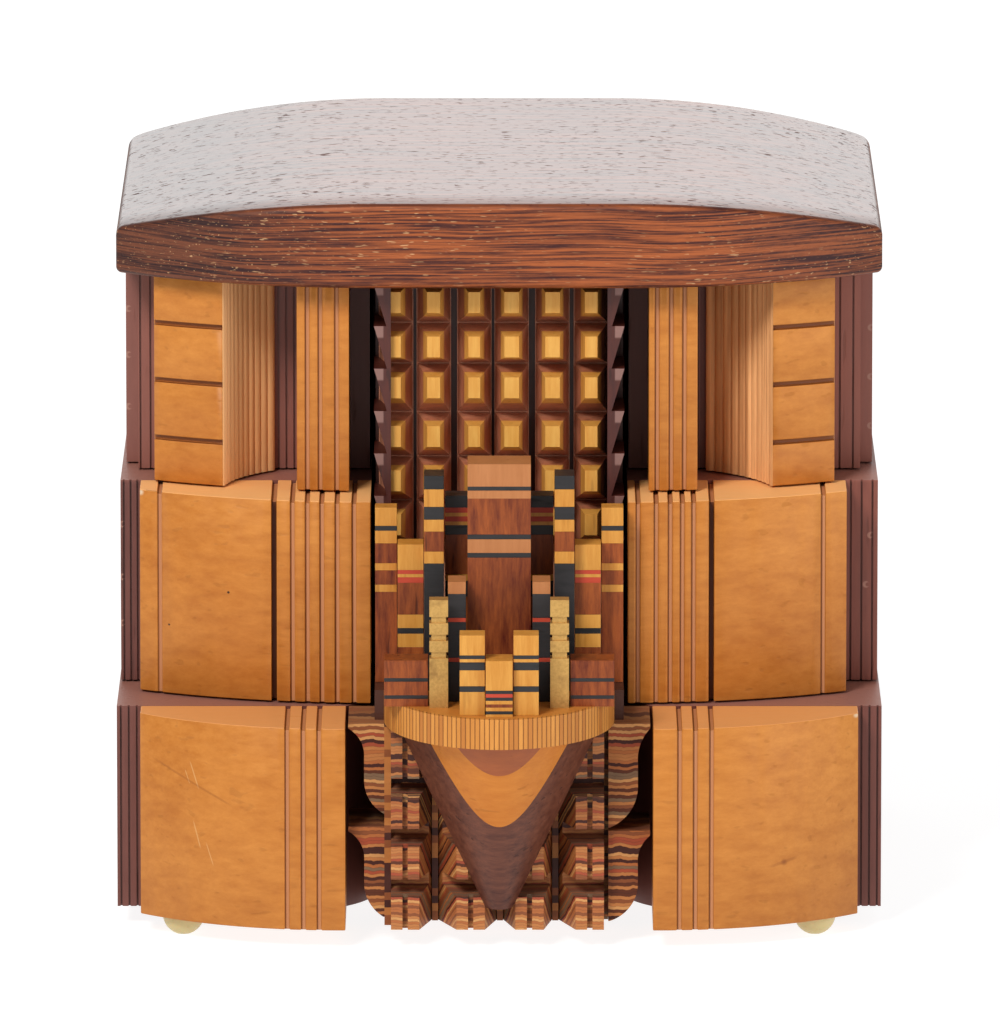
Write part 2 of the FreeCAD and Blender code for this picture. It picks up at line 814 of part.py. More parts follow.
def bracket_cup(side, top, height):
    """One swelling cup of a side bracket."""
    waist = bracket_half - by_side(side, left_bracket_waist_inset, right_bracket_waist_inset)
    inner = by_side(side, zebra_left_end, zebra_right_end)
    foot = inner + bracket_foot_width
    low = top - height
    lip_z = top - bracket_lip
    shoulder_z = top - height * 0.38
    belly_z = top - height * 0.62
    cove_x = waist + (bracket_half - waist) * 0.29
    cove_z = top - height * 0.17
    tuck_x = waist - (waist - foot) * 0.32
    tuck_z = top - height * 0.86
    y = lid_y - bracket_front_reach
    edges = [line(V(inner, y, top), V(bracket_half, y, top)),
             line(V(bracket_half, y, top), V(bracket_half, y, lip_z)),
             arc(V(bracket_half, y, lip_z), V(cove_x, y, cove_z), V(waist, y, shoulder_z)),
             line(V(waist, y, shoulder_z), V(waist, y, belly_z)),
             arc(V(waist, y, belly_z), V(tuck_x, y, tuck_z), V(foot, y, low)),
             line(V(foot, y, low), V(inner, y, low)),
             line(V(inner, y, low), V(inner, y, top))]
    depth = bracket_front_reach - low_joint_reach - bracket_back_gap
    return sided(prism(edges, V(0, depth, 0)), side)


def zebra_bracket(side):
    """Striped side bracket: two cups, one above the other."""
    upper_height = by_side(side, left_upper_cup_height, right_upper_cup_height)
    lower_top = balcony_z - by_side(side, left_lower_cup_drop, right_lower_cup_drop)
    return [bracket_cup(side, balcony_z, upper_height), bracket_cup(side, lower_top, lower_cup_height)]


def corbel_solid():
    """Whole corbel: a rounded wedge that runs down from the balcony to a blunt tip."""
    top_z_here = balcony_z
    low = top_z_here - corbel_height
    back_y = lid_y - zebra_front_reach

    def outline(scale, z):
        curve = Part.BezierCurve()
        half = corbel_half * scale
        pole_y = back_y - 4.0 / 3.0 * corbel_depth * scale
        curve.setPoles([V(-half, back_y, z), V(-half * corbel_fullness, pole_y, z),
                        V(half * corbel_fullness, pole_y, z), V(half, back_y, z)])
        chord = line(V(half, back_y, z), V(-half, back_y, z))
        return Part.Wire([curve.toShape(), chord])

    return Part.makeLoft([outline(corbel_tip, low), outline(1.0, top_z_here)], True, True)


def corbel_layer(near_share, far_share):
    """Slice of the corbel between two upright planes, as the laminated block was glued."""
    back_y = lid_y - zebra_front_reach
    y0 = back_y - corbel_depth * far_share
    y1 = back_y - corbel_depth * near_share
    slab = box(-corbel_half - overcut, corbel_half + overcut, y0, y1, low_z, balcony_z)
    return corbel_solid().common(slab)


def oval_point(inset, angle):
    """Point on the balcony's oval edge, or a little inside it."""
    x = (balcony_half - inset) * math.cos(angle)
    y = (balcony_round_depth - inset) * math.sin(angle)
    return V(x, balcony_round_y + y, balcony_z)


def even_angles(count):
    """Angles that part the front half of the oval into lengths about as long as each other."""
    steps = 2000
    reach = [0.0]
    last = oval_point(0.0, math.pi)
    for step in range(1, steps + 1):
        point = oval_point(0.0, math.pi * (1.0 + step / steps))
        reach.append(reach[-1] + last.distanceToPoint(point))
        last = point
    angles = []
    step = 0
    for index in range(count + 1):
        while step < steps and reach[step] < reach[-1] * index / count:
            step += 1
        angles.append(math.pi * (1.0 + step / steps))
    return angles


def balcony_deck():
    """Deck with a faceted half-oval front, run back under the lattice as wide as the tower."""
    rim = [oval_point(balcony_strip_thickness, angle) for angle in even_angles(balcony_strip_count)]
    points = rim + [V(core_half, balcony_round_y, balcony_z), V(core_half, board_y, balcony_z),
                    V(-core_half, board_y, balcony_z), V(-core_half, balcony_round_y, balcony_z)]
    return polygon_prism(points, V(0, 0, balcony_thickness))


def balcony_edge_strips():
    """Upright veneer strips, side by side round the rounded edge of the deck."""
    angles = even_angles(balcony_strip_count)
    strips = []
    for a0, a1 in zip(angles, angles[1:]):
        inset = balcony_strip_thickness
        corners = [oval_point(inset, a0), oval_point(0.0, a0), oval_point(0.0, a1),
                   oval_point(inset, a1)]
        strips.append(polygon_prism(corners, V(0, 0, balcony_thickness)))
    return strips


def arch_edges(half, y):
    """Right half of the lid's arched section, with a rounded shoulder above its side."""
    radius = bow_radius(half, lid_flat_half, lid_crown - lid_end)
    crown_z = lid_z + lid_crown
    centre_z = crown_z - radius
    shoulder_x = half - lid_shoulder_radius
    reach = radius - lid_shoulder_radius
    lean = math.acos((shoulder_x - lid_flat_half) / reach)
    shoulder_z = centre_z + reach * math.sin(lean)

    def on_arch(angle):
        return V(lid_flat_half + radius * math.cos(angle), y, centre_z + radius * math.sin(angle))

    middle = V(shoulder_x + lid_shoulder_radius * math.cos(lean / 2.0), y,
               shoulder_z + lid_shoulder_radius * math.sin(lean / 2.0))
    side_top = V(half, y, shoulder_z)
    flat_end = V(lid_flat_half, y, crown_z)
    return [line(V(0, y, lid_z), V(0, y, crown_z)), line(V(0, y, crown_z), flat_end),
            arc(flat_end, on_arch((lean + math.pi / 2.0) / 2.0), on_arch(lean)),
            arc(on_arch(lean), middle, side_top), line(side_top, V(half, y, lid_z)),
            line(V(half, y, lid_z), V(0, y, lid_z))]


def lid_slab():
    """Domed slab: bowed at front and rear, arched from side to side, on two blind sockets."""
    half = lid_half
    front_radius = bow_radius(half, lid_flat_half, lid_front_bow)
    rear_radius = bow_radius(half, lid_flat_half, lid_rear_bow)
    front = bowed_edges(0.0, half, lid_y, lid_z, lid_flat_half, front_radius)
    side_front = V(half, lid_y + lid_front_bow, lid_z)
    rear = lid_y + lid_depth
    side_rear = V(half, rear - lid_rear_bow, lid_z)
    flat_rear = V(lid_flat_half, rear, lid_z)
    bend_x = (half + lid_flat_half) / 2.0
    bend = V(bend_x, rear - setback(bend_x, lid_flat_half, rear_radius), lid_z)
    edges = front + [line(side_front, side_rear), arc(side_rear, bend, flat_rear)]
    edges += [line(flat_rear, V(0, rear, lid_z)), line(V(0, rear, lid_z), V(0, lid_y, lid_z))]
    plan = prism(edges, V(0, 0, lid_crown))
    corner = [edge for edge in plan.Edges
              if edge.BoundBox.XMin > half - side_tolerance
              and edge.BoundBox.YMin > side_rear.y - side_tolerance]
    plan = plan.makeFillet(lid_corner_radius, corner)
    section = prism(arch_edges(half, lid_y - overcut), V(0, lid_depth + 2.0 * overcut, 0))
    right = plan.common(section)
    slab = right.fuse(sided(right, -1)).removeSplitter()
    slab = slab.makeFillet(lid_soft_edge, slab.Edges)
    for side in (-1, 1):
        socket = Part.makeCylinder(rod_radius + rod_lid_clearance, rod_lid_entry + rod_socket_spare,
                                   V(side * rod_x, rod_y, lid_z))
        slab = slab.cut(socket)
    return slab


def fill_down(x0, x1, y0, y1, z0, z1, layers, woods):
    """Square post of glued layers, named from the top; the last wood fills the rest."""
    top = z1
    for wood, thickness in layers[:-1]:
        low = max(z0, top - thickness)
        if top - low > town_gap:
            woods[wood].append(box(x0, x1, y0, y1, low, top))
        top = low
    if top - z0 > town_gap:
        woods[layers[-1][0]].append(box(x0, x1, y0, y1, z0, top))


# The posts stand in pairs. Each has its middle distance, width, front line before the lid's front
# line, depth, top level above the balcony and its layers of wood from the top down.
outer_layers = (("satinwood", 4.6), ("ebony", 1.2), ("satinwood", 3.2), ("mahogany", 5.0),
                ("satinwood", 1.8), ("mahogany", 3.6), ("satinwood", 1.8), ("mahogany", 1.0))
shoulder_layers = (("satinwood", 6.4), ("redwood", 1.0), ("satinwood", 0.8), ("redwood", 1.4),
                   ("mahogany", 8.0), ("satinwood", 3.4), ("ebony", 1.4), ("satinwood", 3.4),
                   ("mahogany", 1.0))
tall_layers = (("ebony", 3.0), ("redwood", 1.3), ("satinwood", 0.9), ("redwood", 1.3),
               ("satinwood", 0.9), ("ebony", 2.4), ("mahogany", 10.0), ("satinwood", 1.6),
               ("ebony", 4.0), ("mahogany", 1.0))
capped_layers = (("ebony", 3.4), ("satinwood", 4.4), ("ebony", 3.2), ("satinwood", 3.0),
                 ("mahogany", 5.0), ("satinwood", 3.0), ("ebony", 1.0))
low_layers = (("mahogany", 4.4), ("ebony", 0.9), ("mahogany", 3.4), ("ebony", 0.9),
              ("mahogany", 1.0))
centre_layers = (("tan", 5.6), ("ebony", 1.0), ("tan", 2.0), ("mahogany", 9.0), ("ebony", 1.2),
                 ("tan", 3.4), ("ebony", 1.2), ("mahogany", 1.0))
inner_layers = (("tan", 3.0), ("ebony", 6.0), ("redwood", 1.0), ("ebony", 9.0), ("redwood", 1.0),
                ("ebony", 1.0))
step_layers = (("satinwood", 5.0), ("ebony", 0.9), ("satinwood", 0.8), ("ebony", 2.0),
               ("satinwood", 4.0), ("ebony", 1.4), ("satinwood", 1.0))
front_layers = (("satinwood", 7.4), ("ebony", 0.8), ("redwood", 0.9), ("ebony", 0.8),
                ("satinwood", 0.9), ("mahogany", 0.8), ("satinwood", 0.9), ("ebony", 0.8),
                ("satinwood", 0.9), ("mahogany", 6.0), ("satinwood", 1.0))
town_posts = (
    (28.0, 5.4, 13.0, 6.0, 44.0, outer_layers),
    (21.9, 6.4, 20.0, 8.0, 36.0, shoulder_layers),
    (16.1, 4.9, 24.0, 9.0, 54.0, capped_layers),
    (9.6, 7.6, 13.0, 7.0, 47.0, tall_layers),
    (22.9, 10.8, 44.0, 9.0, 11.5, low_layers),
    (10.4, 4.4, 38.0, 9.0, 30.0, inner_layers),
    (6.6, 6.2, 55.5, 7.0, 20.0, step_layers),
)
town_middle_posts = (
    (15.6, 30.0, 12.0, 58.0, centre_layers),
    (6.6, 57.6, 9.1, 14.0, front_layers),
)
gilt_post_centre = 14.85
gilt_post_width = 4.6
gilt_post_front_reach = 46.0
gilt_post_depth = 4.6
gilt_post_height = 27.0
gilt_band_drops = (4.2, 8.6, 13.0)


def town_woods():
    """Little striped posts that stand on the balcony, sorted by the wood of each layer."""
    woods = {"satinwood": [], "mahogany": [], "ebony": [], "redwood": [], "tan": []}
    z = balcony_top_z
    for centre, width, front, depth, height, layers in town_posts:
        y0 = lid_y - front
        for side in (-1, 1):
            x = side * centre
            fill_down(x - width / 2.0, x + width / 2.0, y0, y0 + depth, z, z + height, layers, woods)
    for width, front, depth, height, layers in town_middle_posts:
        y0 = lid_y - front
        fill_down(-width / 2.0, width / 2.0, y0, y0 + depth, z, z + height, layers, woods)
    return woods


def gilt_posts():
    """Two gilded posts with sunk bands."""
    posts = []
    y0 = lid_y - gilt_post_front_reach
    for side in (-1, 1):
        x = side * gilt_post_centre
        half = gilt_post_width / 2.0
        top = balcony_top_z + gilt_post_height
        post = box(x - half, x + half, y0, y0 + gilt_post_depth, balcony_top_z, top)
        for drop in gilt_band_drops:
            ring = box(x - half, x + half, y0, y0 + gilt_post_depth,
                       top - drop - gilt_band_height, top - drop)
            waist = box(x - half + gilt_band_inset, x + half - gilt_band_inset,
                        y0 + gilt_band_inset, y0 + gilt_post_depth - gilt_band_inset,
                        top - drop - gilt_band_height, top - drop)
            post = post.cut(ring.cut(waist))
        posts.append(post)
    return posts


def save(node, shape):
    """Write one sub-part; a list of shapes becomes a group of separate solids."""
    if isinstance(shape, list):
        shape = Part.makeCompound(shape)
    solids = len(shape.Solids)
    print(f"{node}: {solids} solids, {shape.Volume:.1f} mm3, valid {shape.isValid()}")
    shape.exportStep(f"parts/{node}.step")


def build_tray(name, side):
    """The fixed pieces of one middle tray and of the top tray above it."""
    save(f"mid_{name}_case", mid_case(side))
    save(f"mid_{name}_floor", tray_floor(mid_slot_width, mid_case_width, mid_well_y, mid_z, side))
    save(f"mid_{name}_liner", tray_liner(mid_slot_width, mid_case_width, mid_well_y, mid_z, side))
    save(f"mid_{name}_front_block", mid_block(side))
    save(f"top_{name}_case", top_case(side))
    save(f"top_{name}_floor", tray_floor(top_slot_width, top_case_width, top_well_y, top_z, side))
    save(f"top_{name}_liner", tray_liner(top_slot_width, top_case_width, top_well_y, top_z, side))
    save(f"top_{name}_corner_post", corner_post(side))
    save(f"top_{name}_cove", reeded_cove(side))
    save(f"top_{name}_pilaster", pilaster(side))


def build():
    for name, side in (("left", -1), ("right", 1)):
        save(f"base_{name}_case", base_case(side))
        save(f"base_{name}_front_block", low_block(side))
        save(f"zebra_{name}_bracket", zebra_bracket(side))
        save(f"core_{name}_cheek", core_cheek(side))
        build_tray(name, side)
    save("base_floors", [tray_floor(low_slot_width, low_case_width, low_well_y, low_z, side)
                         for side in (-1, 1)])
    save("base_liners", [tray_liner(low_slot_width, low_case_width, low_well_y, low_z, side)
                         for side in (-1, 1)])
    save("feet", feet())
    save("pivot_rods", pivot_rods())
    save("rod_plugs", rod_plugs())
    save("rod_washers", rod_washers())
    save("core_front_board", core_front_board())
    save("core_back_panel", core_back_panel())
    save("core_floor", core_floor())
    save("core_liner", core_liner())
    save("lattice_bars", lattice_bar_set())
    save("lattice_inlays", lattice_inlays())
    save("lattice_fins", lattice_fins())
    save("zebra_block", zebra_block())
    save("zebra_columns", zebra_column_set())
    save("zebra_strips", zebra_strips())
    save("corbel_outer", corbel_layer(0.0, corbel_middle_share))
    save("corbel_middle", corbel_layer(corbel_middle_share, corbel_inner_share))
    save("corbel_inner", corbel_layer(corbel_inner_share, 1.0))
    save("balcony_deck", balcony_deck())
    save("balcony_edge_strips", balcony_edge_strips())
    for wood, layers in town_woods().items():
        save(f"town_{wood}_layers", layers)
    save("town_gilt_posts", gilt_posts())
    save("lid_slab", lid_slab())


build()
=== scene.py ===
# %% [markdown]
# # A wooden keepsake box in three tiers
# The box is glued up from many small pieces of different woods: a fixed centre, three tiers at each side
# of it, and one thick lid over all. Their shapes come ready-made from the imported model. They could be
# modelled again in Blender, but then picture and model could drift apart. So they are loaded and never
# altered, and this lesson gives each piece its wood, its glue lines and its wear, in a soft studio.

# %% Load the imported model
import math

import bpy
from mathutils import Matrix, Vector


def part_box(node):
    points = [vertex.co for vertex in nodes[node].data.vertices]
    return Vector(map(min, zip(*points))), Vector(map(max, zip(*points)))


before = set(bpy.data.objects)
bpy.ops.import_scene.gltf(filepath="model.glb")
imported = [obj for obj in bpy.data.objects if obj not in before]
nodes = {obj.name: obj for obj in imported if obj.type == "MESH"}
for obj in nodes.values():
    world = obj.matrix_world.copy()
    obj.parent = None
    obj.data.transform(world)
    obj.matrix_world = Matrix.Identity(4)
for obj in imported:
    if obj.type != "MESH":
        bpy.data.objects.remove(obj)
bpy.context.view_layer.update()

lid_low, lid_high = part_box("lid_slab")
deck_low, deck_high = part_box("balcony_deck")
lid_front = lid_low[1]
print("lid from", lid_low, "to", lid_high)
print("balcony from", deck_low, "to", deck_high)

# %% [markdown]
# ## The camera
# The photograph was taken from far away with a long lens, a little above the box, so near and far edges
# differ little in size. A camera can be placed by eye, but then every edge is a little off. Here a few
# corners of the box, found in the picture, fixed its place: almost four metres away, looking down by ten
# and a half degrees.

# %% Camera
CAMERA_PLACE = (0.0002, -3.9395, 0.8224)
LOOKS_DOWN = 10.502
FRAME_WIDTH = 36.0
ZOOM = 15.921

scene = bpy.context.scene
lens_data = bpy.data.cameras.new("camera")
lens_data.sensor_fit = "HORIZONTAL"
lens_data.sensor_width = FRAME_WIDTH
lens_data.lens = FRAME_WIDTH * ZOOM
lens_data.clip_end = 50.0
camera = bpy.data.objects.new("camera", lens_data)
camera.location = CAMERA_PLACE
camera.rotation_euler = (math.radians(90.0 - LOOKS_DOWN), 0.0, 0.0)
scene.collection.objects.link(camera)
scene.camera = camera
print("camera at", tuple(camera.location))

# %% [markdown]
# ## Light
# The picture is a product shot: an even white surround, a broad soft light from the front and above, and
# a bright wall behind, which gives the polished lid its pale sheen. A ready-made studio picture could
# light it, but that would be one more file. A white world does most of the work instead. A key lamp and a
# side lamp give the light a direction, and a wide one behind stands for the wall.

# %% Lights
WORLD_COLOUR, WORLD_STRENGTH = (1.0, 0.995, 0.985, 1.0), 0.34
BOX_MIDDLE, LID_TOP = (0, 0, 0.09), (0, 0, 0.18)

scene.view_settings.view_transform = "Standard"
scene.view_settings.exposure = 0.0
world = bpy.data.worlds.new("studio")
world.use_nodes = True
surround = world.node_tree.nodes["Background"].inputs
surround["Color"].default_value = WORLD_COLOUR
surround["Strength"].default_value = WORLD_STRENGTH
scene.world = world


def soft_lamp(name, place, aim, size, watts, colour):
    """Large area lamp that looks at a point."""
    data = bpy.data.lights.new(name, "AREA")
    data.shape = "RECTANGLE"
    data.size, data.size_y = size
    data.energy = watts
    data.color = colour
    lamp = bpy.data.objects.new(name, data)
    lamp.location = place
    lamp.rotation_euler = (Vector(aim) - Vector(place)).to_track_quat("-Z", "Y").to_euler()
    scene.collection.objects.link(lamp)
    print(name, watts, "W")


soft_lamp("key_softbox", (-0.74, -1.51, 1.50), BOX_MIDDLE, (0.62, 0.62), 38.0, (1.0, 0.96, 0.91))
soft_lamp("side_softbox", (1.5, -1.2, 0.6), BOX_MIDDLE, (1.2, 1.2), 12.0, (0.97, 0.98, 1.0))
soft_lamp("rear_wall_light", (0.0, 1.9, 0.75), LID_TOP, (2.6, 1.2), 11.5, (1.0, 0.985, 0.98))

# %% [markdown]
# ## The floor sheet
# The box stands on a pale sheet that fades into the background. One large square is enough, because its
# far edge lies outside the picture.

# %% Floor sheet
FLOOR_REACH = 6.0

floor_corners = [(x * FLOOR_REACH, y * FLOOR_REACH, 0) for x, y in ((-1, -1), (1, -1), (1, 1), (-1, 1))]
floor_mesh = bpy.data.meshes.new("floor")
floor_mesh.from_pydata(floor_corners, [], [(0, 1, 2, 3)])
floor = bpy.data.objects.new("floor", floor_mesh)
scene.collection.objects.link(floor)
print("floor sheet", 2 * FLOOR_REACH, "m wide")

# %% [markdown]
# ## Shader sums written as Python
# Each wood is a small calculation on the place of a point in the box. It could be wired by hand in the
# shader editor, but dozens of nodes are hard to read. This class wraps one socket of a shader, so that a
# formula such as `grain * 0.4 + flecks` adds its own nodes. Colours and directions go through Mix and
# Vector Math, because a plain Math node would turn a colour grey.

# %% Shader helper
class Sock:
    """One socket of a shader tree, with Python's operators."""

    def __init__(self, tree, socket=None):
        self.tree, self.socket = tree, socket

    def node(self, kind, settings=(), values=(), out=0):
        """Add a node of any kind: settings first, then the values or links of its sockets."""
        made = self.tree.nodes.new("ShaderNode" + kind)
        for key, value in dict(settings).items():
            if key == "stops":
                ramp = made.color_ramp
                while len(ramp.elements) < len(value):
                    ramp.elements.new(0.5)
                for element, (place, colour) in zip(ramp.elements, value):
                    element.position = place
                    element.color = (*colour, 1.0)
            elif key == "interpolation":
                made.color_ramp.interpolation = value
            else:
                setattr(made, key, value)
        for key, value in dict(values).items():
            if isinstance(value, Sock):
                self.tree.links.new(value.socket, made.inputs[key])
            else:
                made.inputs[key].default_value = value
        return Sock(self.tree, made.outputs[out])

    def sum(self, operation, first, second=0.0):
        """A Math node of any operation."""
        return self.node("Math", {"operation": operation}, {0: first, 1: second})

    def __add__(self, other): return self.sum("ADD", self, other)
    def __radd__(self, other): return self.sum("ADD", other, self)
    def __sub__(self, other): return self.sum("SUBTRACT", self, other)
    def __rsub__(self, other): return self.sum("SUBTRACT", other, self)
    def __mul__(self, other): return self.sum("MULTIPLY", self, other)
    def __rmul__(self, other): return self.sum("MULTIPLY", other, self)
    def __truediv__(self, other): return self.sum("DIVIDE", self, other)
    def __pow__(self, other): return self.sum("POWER", self, other)

    def floor(self): return self.sum("FLOOR", self)
    def frac(self): return self.sum("FRACT", self)
    def abs(self): return self.sum("ABSOLUTE", self)
    def max(self, other): return self.sum("MAXIMUM", self, other)
    def min(self, other): return self.sum("MINIMUM", self, other)

    def between(self, low, high):
        """0 at low and below, 1 at high and above, smooth in the middle."""
        values = {"Value": self, "From Min": low, "From Max": high, "To Min": 0.0, "To Max": 1.0}
        return self.node("MapRange", {"interpolation_type": "SMOOTHSTEP"}, values)

    def mix(self, first, second):
        """Blend of two colours, with this socket as the share of the second."""
        def as_colour(value):
            return value if isinstance(value, Sock) else (*value, 1.0)
        values = {0: self, 6: as_colour(first), 7: as_colour(second)}
        return self.node("Mix", {"data_type": "RGBA", "clamp_factor": True}, values, out=2)

    def tint(self, other, share=1.0):
        """This colour multiplied by another."""
        value = other if isinstance(other, Sock) else (*other, 1.0)
        settings = {"data_type": "RGBA", "blend_type": "MULTIPLY", "clamp_factor": True}
        return self.node("Mix", settings, {0: share, 6: self, 7: value}, out=2)

    def pick(self, stops):
        """One of a few colours, by this value, with no blending between them."""
        return self.node("ValToRGB", {"stops": stops, "interpolation": "CONSTANT"}, {"Fac": self})

    def lot(self):
        """A number from 0 to 1 that is the same all over each whole step of this value."""
        steps = {"W": self.floor()}
        return self.node("TexWhiteNoise", {"noise_dimensions": "1D"}, steps)

    def stretched(self, scale, turn=(0.0, 0.0, 0.0), shift=(0.0, 0.0, 0.0)):
        """This place with its axes scaled, turned and moved; a small scale draws a figure out."""
        values = {"Vector": self, "Scale": scale, "Rotation": turn, "Location": shift}
        return self.node("Mapping", {}, values)

    def noise(self, scale=1.0, detail=3.0, roughness=0.55, distortion=0.0):
        values = {"Vector": self, "Scale": scale, "Detail": detail, "Roughness": roughness,
                  "Distortion": distortion}
        return self.node("TexNoise", {}, values)

    def axis(self, name):
        """One coordinate of this place."""
        return self.node("SeparateXYZ", {}, {"Vector": self}, out="XYZ".index(name))


print("shader helper ready")

# %% [markdown]
# ## One recipe for every material
# All the woods end in the same way: a colour, a roughness and a height that tilts the surface. What stays
# the same all over a piece, such as its coat of polish, is set straight on the shader.
#
# Colours could be guessed and tried until they fit. Here they are chosen from how the woods look in the
# lit picture: `seen` takes off the sheen and divides by the light that falls on a face towards the
# camera, which leaves the wood's own colour.

# %% Material recipe
FRONT_LIGHT, FRONT_SHEEN, DARKEST = 1.34, 0.015, 0.003
PLACE_IN_BOX, FACE_DIRECTION = 3, 1

materials = {}


def srgb(*levels):
    """Linear colour from the 0 to 255 levels that one reads off a screen."""
    return tuple((v / 255 / 12.92) if v <= 10 else ((v / 255 + 0.055) / 1.055) ** 2.4 for v in levels)


def seen(*levels):
    """Own colour of a wood that shows these levels on a face towards the camera."""
    return tuple(max(DARKEST, (level - FRONT_SHEEN) / FRONT_LIGHT) for level in srgb(*levels))


def material(name, paint, **fixed):
    """Make a material; paint(place) gives its colour, roughness, height in metres, and coat."""
    made = bpy.data.materials.new(name)
    made.use_nodes = True
    tree = made.node_tree
    shader = tree.nodes["Principled BSDF"]
    place = Sock(tree).node("TexCoord", out=PLACE_IN_BOX)
    result = paint(place)
    for key, value in zip(("Base Color", "Roughness"), result):
        if isinstance(value, Sock):
            tree.links.new(value.socket, shader.inputs[key])
        else:
            shader.inputs[key].default_value = value
    if len(result) > 2:
        bump = place.node("Bump", {}, {"Height": result[2], "Strength": 1.0, "Distance": 1.0})
        tree.links.new(bump.socket, shader.inputs["Normal"])
    if len(result) > 3:
        tree.links.new(result[3].socket, shader.inputs["Coat Weight"])
    for key, value in fixed.items():
        shader.inputs[key.replace("_", " ")].default_value = value
    materials[name] = made


def dress(material_name, *node_names):
    """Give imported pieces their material."""
    for node_name in node_names:
        mesh = nodes[node_name].data
        mesh.materials.clear()
        mesh.materials.append(materials[material_name])
    print(material_name, "on", ", ".join(node_names))


def facing(place, axis, sign):
    """Mask of the faces that look along an axis of the box."""
    normal = place.node("TexCoord", out=FACE_DIRECTION)
    return (normal.axis(axis) * sign).between(0.5, 0.8)


# %% [markdown]
# ## The floor's finish
# A sheet of pale card: almost white, quite rough, with the faintest unevenness. A brighter lamp could
# make it white, but would bleach the woods too. So it glows a little, as if it was lit from below.

# %% Floor finish
FLOOR_GLOW = 0.87


def paint_floor(place):
    cloud = place.noise(3.0, 2.0)
    return cloud.mix((0.28, 0.28, 0.28), (0.30, 0.30, 0.30)), 0.8


material("floor_card", paint_floor, Emission_Color=(1.0, 1.0, 1.0, 1.0), Emission_Strength=FLOOR_GLOW,
         Specular_IOR_Level=0.0)
floor.data.materials.append(materials["floor_card"])

# %% [markdown]
# ## Plain woods
# A plank's figure is stretched along its grain. A photograph of a plank could be laid on each piece, but
# then it would stop at every edge. A figure worked out in space runs through the piece, as real wood
# does. Three layers make it: broad clouds of lighter and darker wood, fine fibres, and short dark pores.
# One recipe serves all the plain woods, with other colours, another grain direction and more or fewer
# pores.

# %% Plain wood recipe
LENGTHWISE = (0.16, 1.0, 1.0)
UPRIGHT = (1.0, 1.0, 0.1)
DEEPWISE = (1.0, 0.12, 1.0)
FIBRE_HEIGHT, PORE_DEPTH = 0.00002, 0.00003


def wood_paint(light, dark, grain, turn=(0.0, 0.0, 0.0), cloud=0.5, fibre=0.35, pore=0.35, rough=0.42,
               seed=0.0, extra=None):
    """Plain wood. grain stretches the figure: a small number is the direction of the fibres."""
    def paint(place):
        along = place.stretched(grain, turn, (seed, seed * 0.7, seed * 1.3))
        clouds = along.noise(28.0, 3.0, roughness=0.6, distortion=0.6)
        fibres = along.noise(520.0, 5.0, roughness=0.75)
        pores = along.stretched((0.6, 0.6, 0.6)).noise(900.0, 1.0).between(0.66, 0.74)
        share = (clouds - 0.5) * (2.2 * cloud) + (fibres - 0.5) * (1.6 * fibre) + 0.5
        colour = share.mix(dark, light)
        colour = (pores * pore).mix(colour, tuple(level * 0.35 for level in dark))
        if extra:
            colour = extra(place, colour)
        roughness = rough + (fibres - 0.5) * 0.22 + pores * 0.12
        return colour, roughness, fibres * FIBRE_HEIGHT - pores * PORE_DEPTH
    return paint


def plain_wood(name, pieces, *colours_and_grain, gloss=0.5, **figure):
    """Make a plain wood and give it to its pieces. gloss is the strength of its shine."""
    material(name, wood_paint(*colours_and_grain, **figure), Specular_IOR_Level=gloss)
    dress(name, *pieces)


print("plain wood recipe ready")

# %% [markdown]
# ## Masks for small marks
# A beetle hole, a scratch or the floor of a saw cut sits at one place of one piece. Such marks could be
# painted on an image, but that needs unwrapped pieces and gets coarse close up. A mask worked out from a
# point's place needs neither. The bowed fronts were sanded before they were sawn, so whatever lies
# behind the bow is the floor of a cut.

# %% Masks
def spot(place, centre, radius, soft=0.5):
    """Mask of a round spot about a point."""
    away = place.node("VectorMath", {"operation": "DISTANCE"}, {0: place, 1: centre}, out=1)
    return 1.0 - away.between(radius * (1.0 - soft), radius)


def front_spot(place, x, z, radius, soft=0.5):
    """Mask of a round spot on a front, by its place in the picture plane."""
    flat = place.node("VectorMath", {"operation": "MULTIPLY"}, {0: place, 1: (1.0, 0.0, 1.0)})
    return spot(flat, (x, 0.0, z), radius, soft) * facing(place, "Y", -1.0)


def streak(place, start, end, width):
    """Mask of a thin straight scratch between two points seen from the front."""
    length = math.hypot(end[0] - start[0], end[1] - start[1])
    ux, uz = (end[0] - start[0]) / length, (end[1] - start[1]) / length
    x, z = place.axis("X") - start[0], place.axis("Z") - start[1]
    across = (x * uz - z * ux).abs()
    along = x * ux + z * uz
    inside = along.between(0.0, length * 0.2) * (1.0 - along.between(length * 0.8, length))
    return (1.0 - across.between(width * 0.4, width)) * inside


def round_mark(x, z, radius, soft=0.5):
    """A spot on a front, as a mask that waits for its place."""
    return lambda place: front_spot(place, x, z, radius, soft)


def scratch(start, end, width):
    """A scratch on a front, as a mask that waits for its place."""
    return lambda place: streak(place, start, end, width)


def behind_bow(place, front_y, flat_half, radius):
    """How far a point lies behind a front that is flat in its middle and round beyond."""
    run = (place.axis("X").abs() - flat_half).max(0.0)
    return place.axis("Y") - front_y - radius + (radius * radius - run * run) ** 0.5


print("masks ready")
